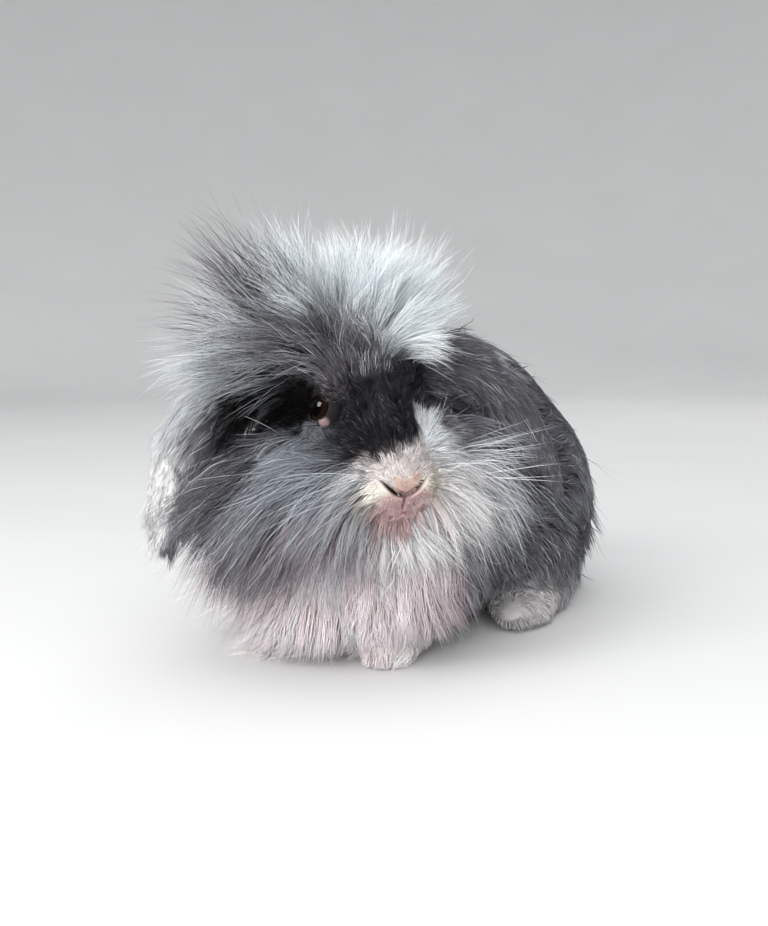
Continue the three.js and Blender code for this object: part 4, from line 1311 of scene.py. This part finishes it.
def two_tone_material(name, roughness, fineness, dark, light):
    """One colour that wanders into another."""
    material, nodes, links, shader = new_material(name)
    ramp = nodes.new("ShaderNodeValToRGB")
    ramp.color_ramp.elements[0].color = (*dark, 1)
    ramp.color_ramp.elements[1].color = (*light, 1)
    links.new(speckled(nodes, links, fineness), ramp.inputs["Fac"])
    links.new(ramp.outputs["Color"], shader.inputs["Base Color"])
    shader.inputs["Roughness"].default_value = roughness
    return material


def claw_material():
    return two_tone_material("horn_claw", 0.35, 700, tint(120, 100, 92), tint(200, 182, 168))


def dress(piece, material, slot, *nodes):
    piece.data.materials.clear()
    piece.data.materials.append(material)
    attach(piece, "root")
    if nodes:
        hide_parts(*nodes)


hair = hair_material("coat_hair", 0.6, 0.15)
stiff_hair = hair_material("whisker_hair", 0.35, 0.3)
FLESH_NODES = [name for name in sorted(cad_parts) if not name.startswith("eye_")]
dress(skin, skin_material(), "fur_grey", *FLESH_NODES)
for piece in coat_pieces:
    dress(piece, hair, COAT_PIECES[piece.name][-1])
wet = eye_material()
for eye, node in zip(eyes, ("eye_left", "eye_right")):
    dress(eye, wet, "eye", node)
dress(whiskers, stiff_hair, "fur_white")
dress(claws, claw_material(), "fur_white")


def add_floor():
    """A pale floor that rises all round, far off, so that no edge shows behind the animal."""
    FLAT_TO, RISEN_AT, HEIGHT = 1.6, 5.0, 2.4
    bpy.ops.mesh.primitive_grid_add(x_subdivisions=120, y_subdivisions=120, size=12)
    floor = bpy.context.object
    floor.name = "floor"

    def rise(points):
        away = np.linalg.norm(points[:, :2], axis=1)
        lifted = points.copy()
        lifted[:, 2] = HEIGHT * smoothstep(away, FLAT_TO, RISEN_AT)
        return lifted

    shape(floor, rise)
    bpy.ops.object.shade_smooth()
    pale = two_tone_material("pale_floor", 0.9, 6, (0.66, 0.655, 0.65), (0.71, 0.705, 0.70))
    floor.data.materials.append(pale)
    floor.visible_glossy = False


def add_light(name, place, size, power, colour=(1, 1, 1), glints=False):
    """A square lamp aimed at the animal. It shows in the eyes only where glints is set."""
    light = bpy.data.lights.new(name, "AREA")
    light.size = size
    light.energy = power
    light.color = colour
    lamp = bpy.data.objects.new(name, light)
    bpy.context.scene.collection.objects.link(lamp)
    lamp.visible_glossy = glints
    lamp.location = Vector(body_origin) + Vector(place)
    aim = Vector(body_origin) + Vector((0, -0.02, 0.08)) - lamp.location
    lamp.rotation_euler = aim.to_track_quat("-Z", "Y").to_euler()


def add_camera():
    """The photo's view, from a little above the head. Its lens is in millimetres, its angles in degrees."""
    FROM_HEAD = Vector((0.2155, -0.4614, 0.046))
    TIPPED_DOWN = 7.5
    TURNED = 24
    LENS = 46.65
    data = bpy.data.cameras.new("camera")
    data.sensor_width = 36
    data.lens = LENS
    camera = bpy.data.objects.new("camera", data)
    bpy.context.scene.collection.objects.link(camera)
    camera.location = Vector(head_middle) + FROM_HEAD
    camera.rotation_euler = (math.radians(90 - TIPPED_DOWN), 0, math.radians(TURNED))
    bpy.context.scene.camera = camera


add_floor()
add_light("sky", (0.1, -0.3, 1.4), 2.0, 12, (0.96, 0.98, 1))
add_light("window", (-0.45, -1.05, 0.85), 0.62, 9, glints=True)
add_light("fill", (1.1, -1.9, 0.7), 1.6, 18)
add_light("low_fill", (0.15, -1.1, 0.3), 0.5, 6.5)
add_light("back", (0.2, 1.3, 0.9), 1.2, 4)
world = bpy.data.worlds.new("studio")
bpy.context.scene.world = world
world.use_nodes = True
air = world.node_tree.nodes["Background"]
air.inputs["Color"].default_value = (0.86, 0.88, 0.9, 1)
air.inputs["Strength"].default_value = 0.7
world.cycles_visibility.glossy = False
bpy.context.scene.view_settings.view_transform = "Standard"
add_camera()
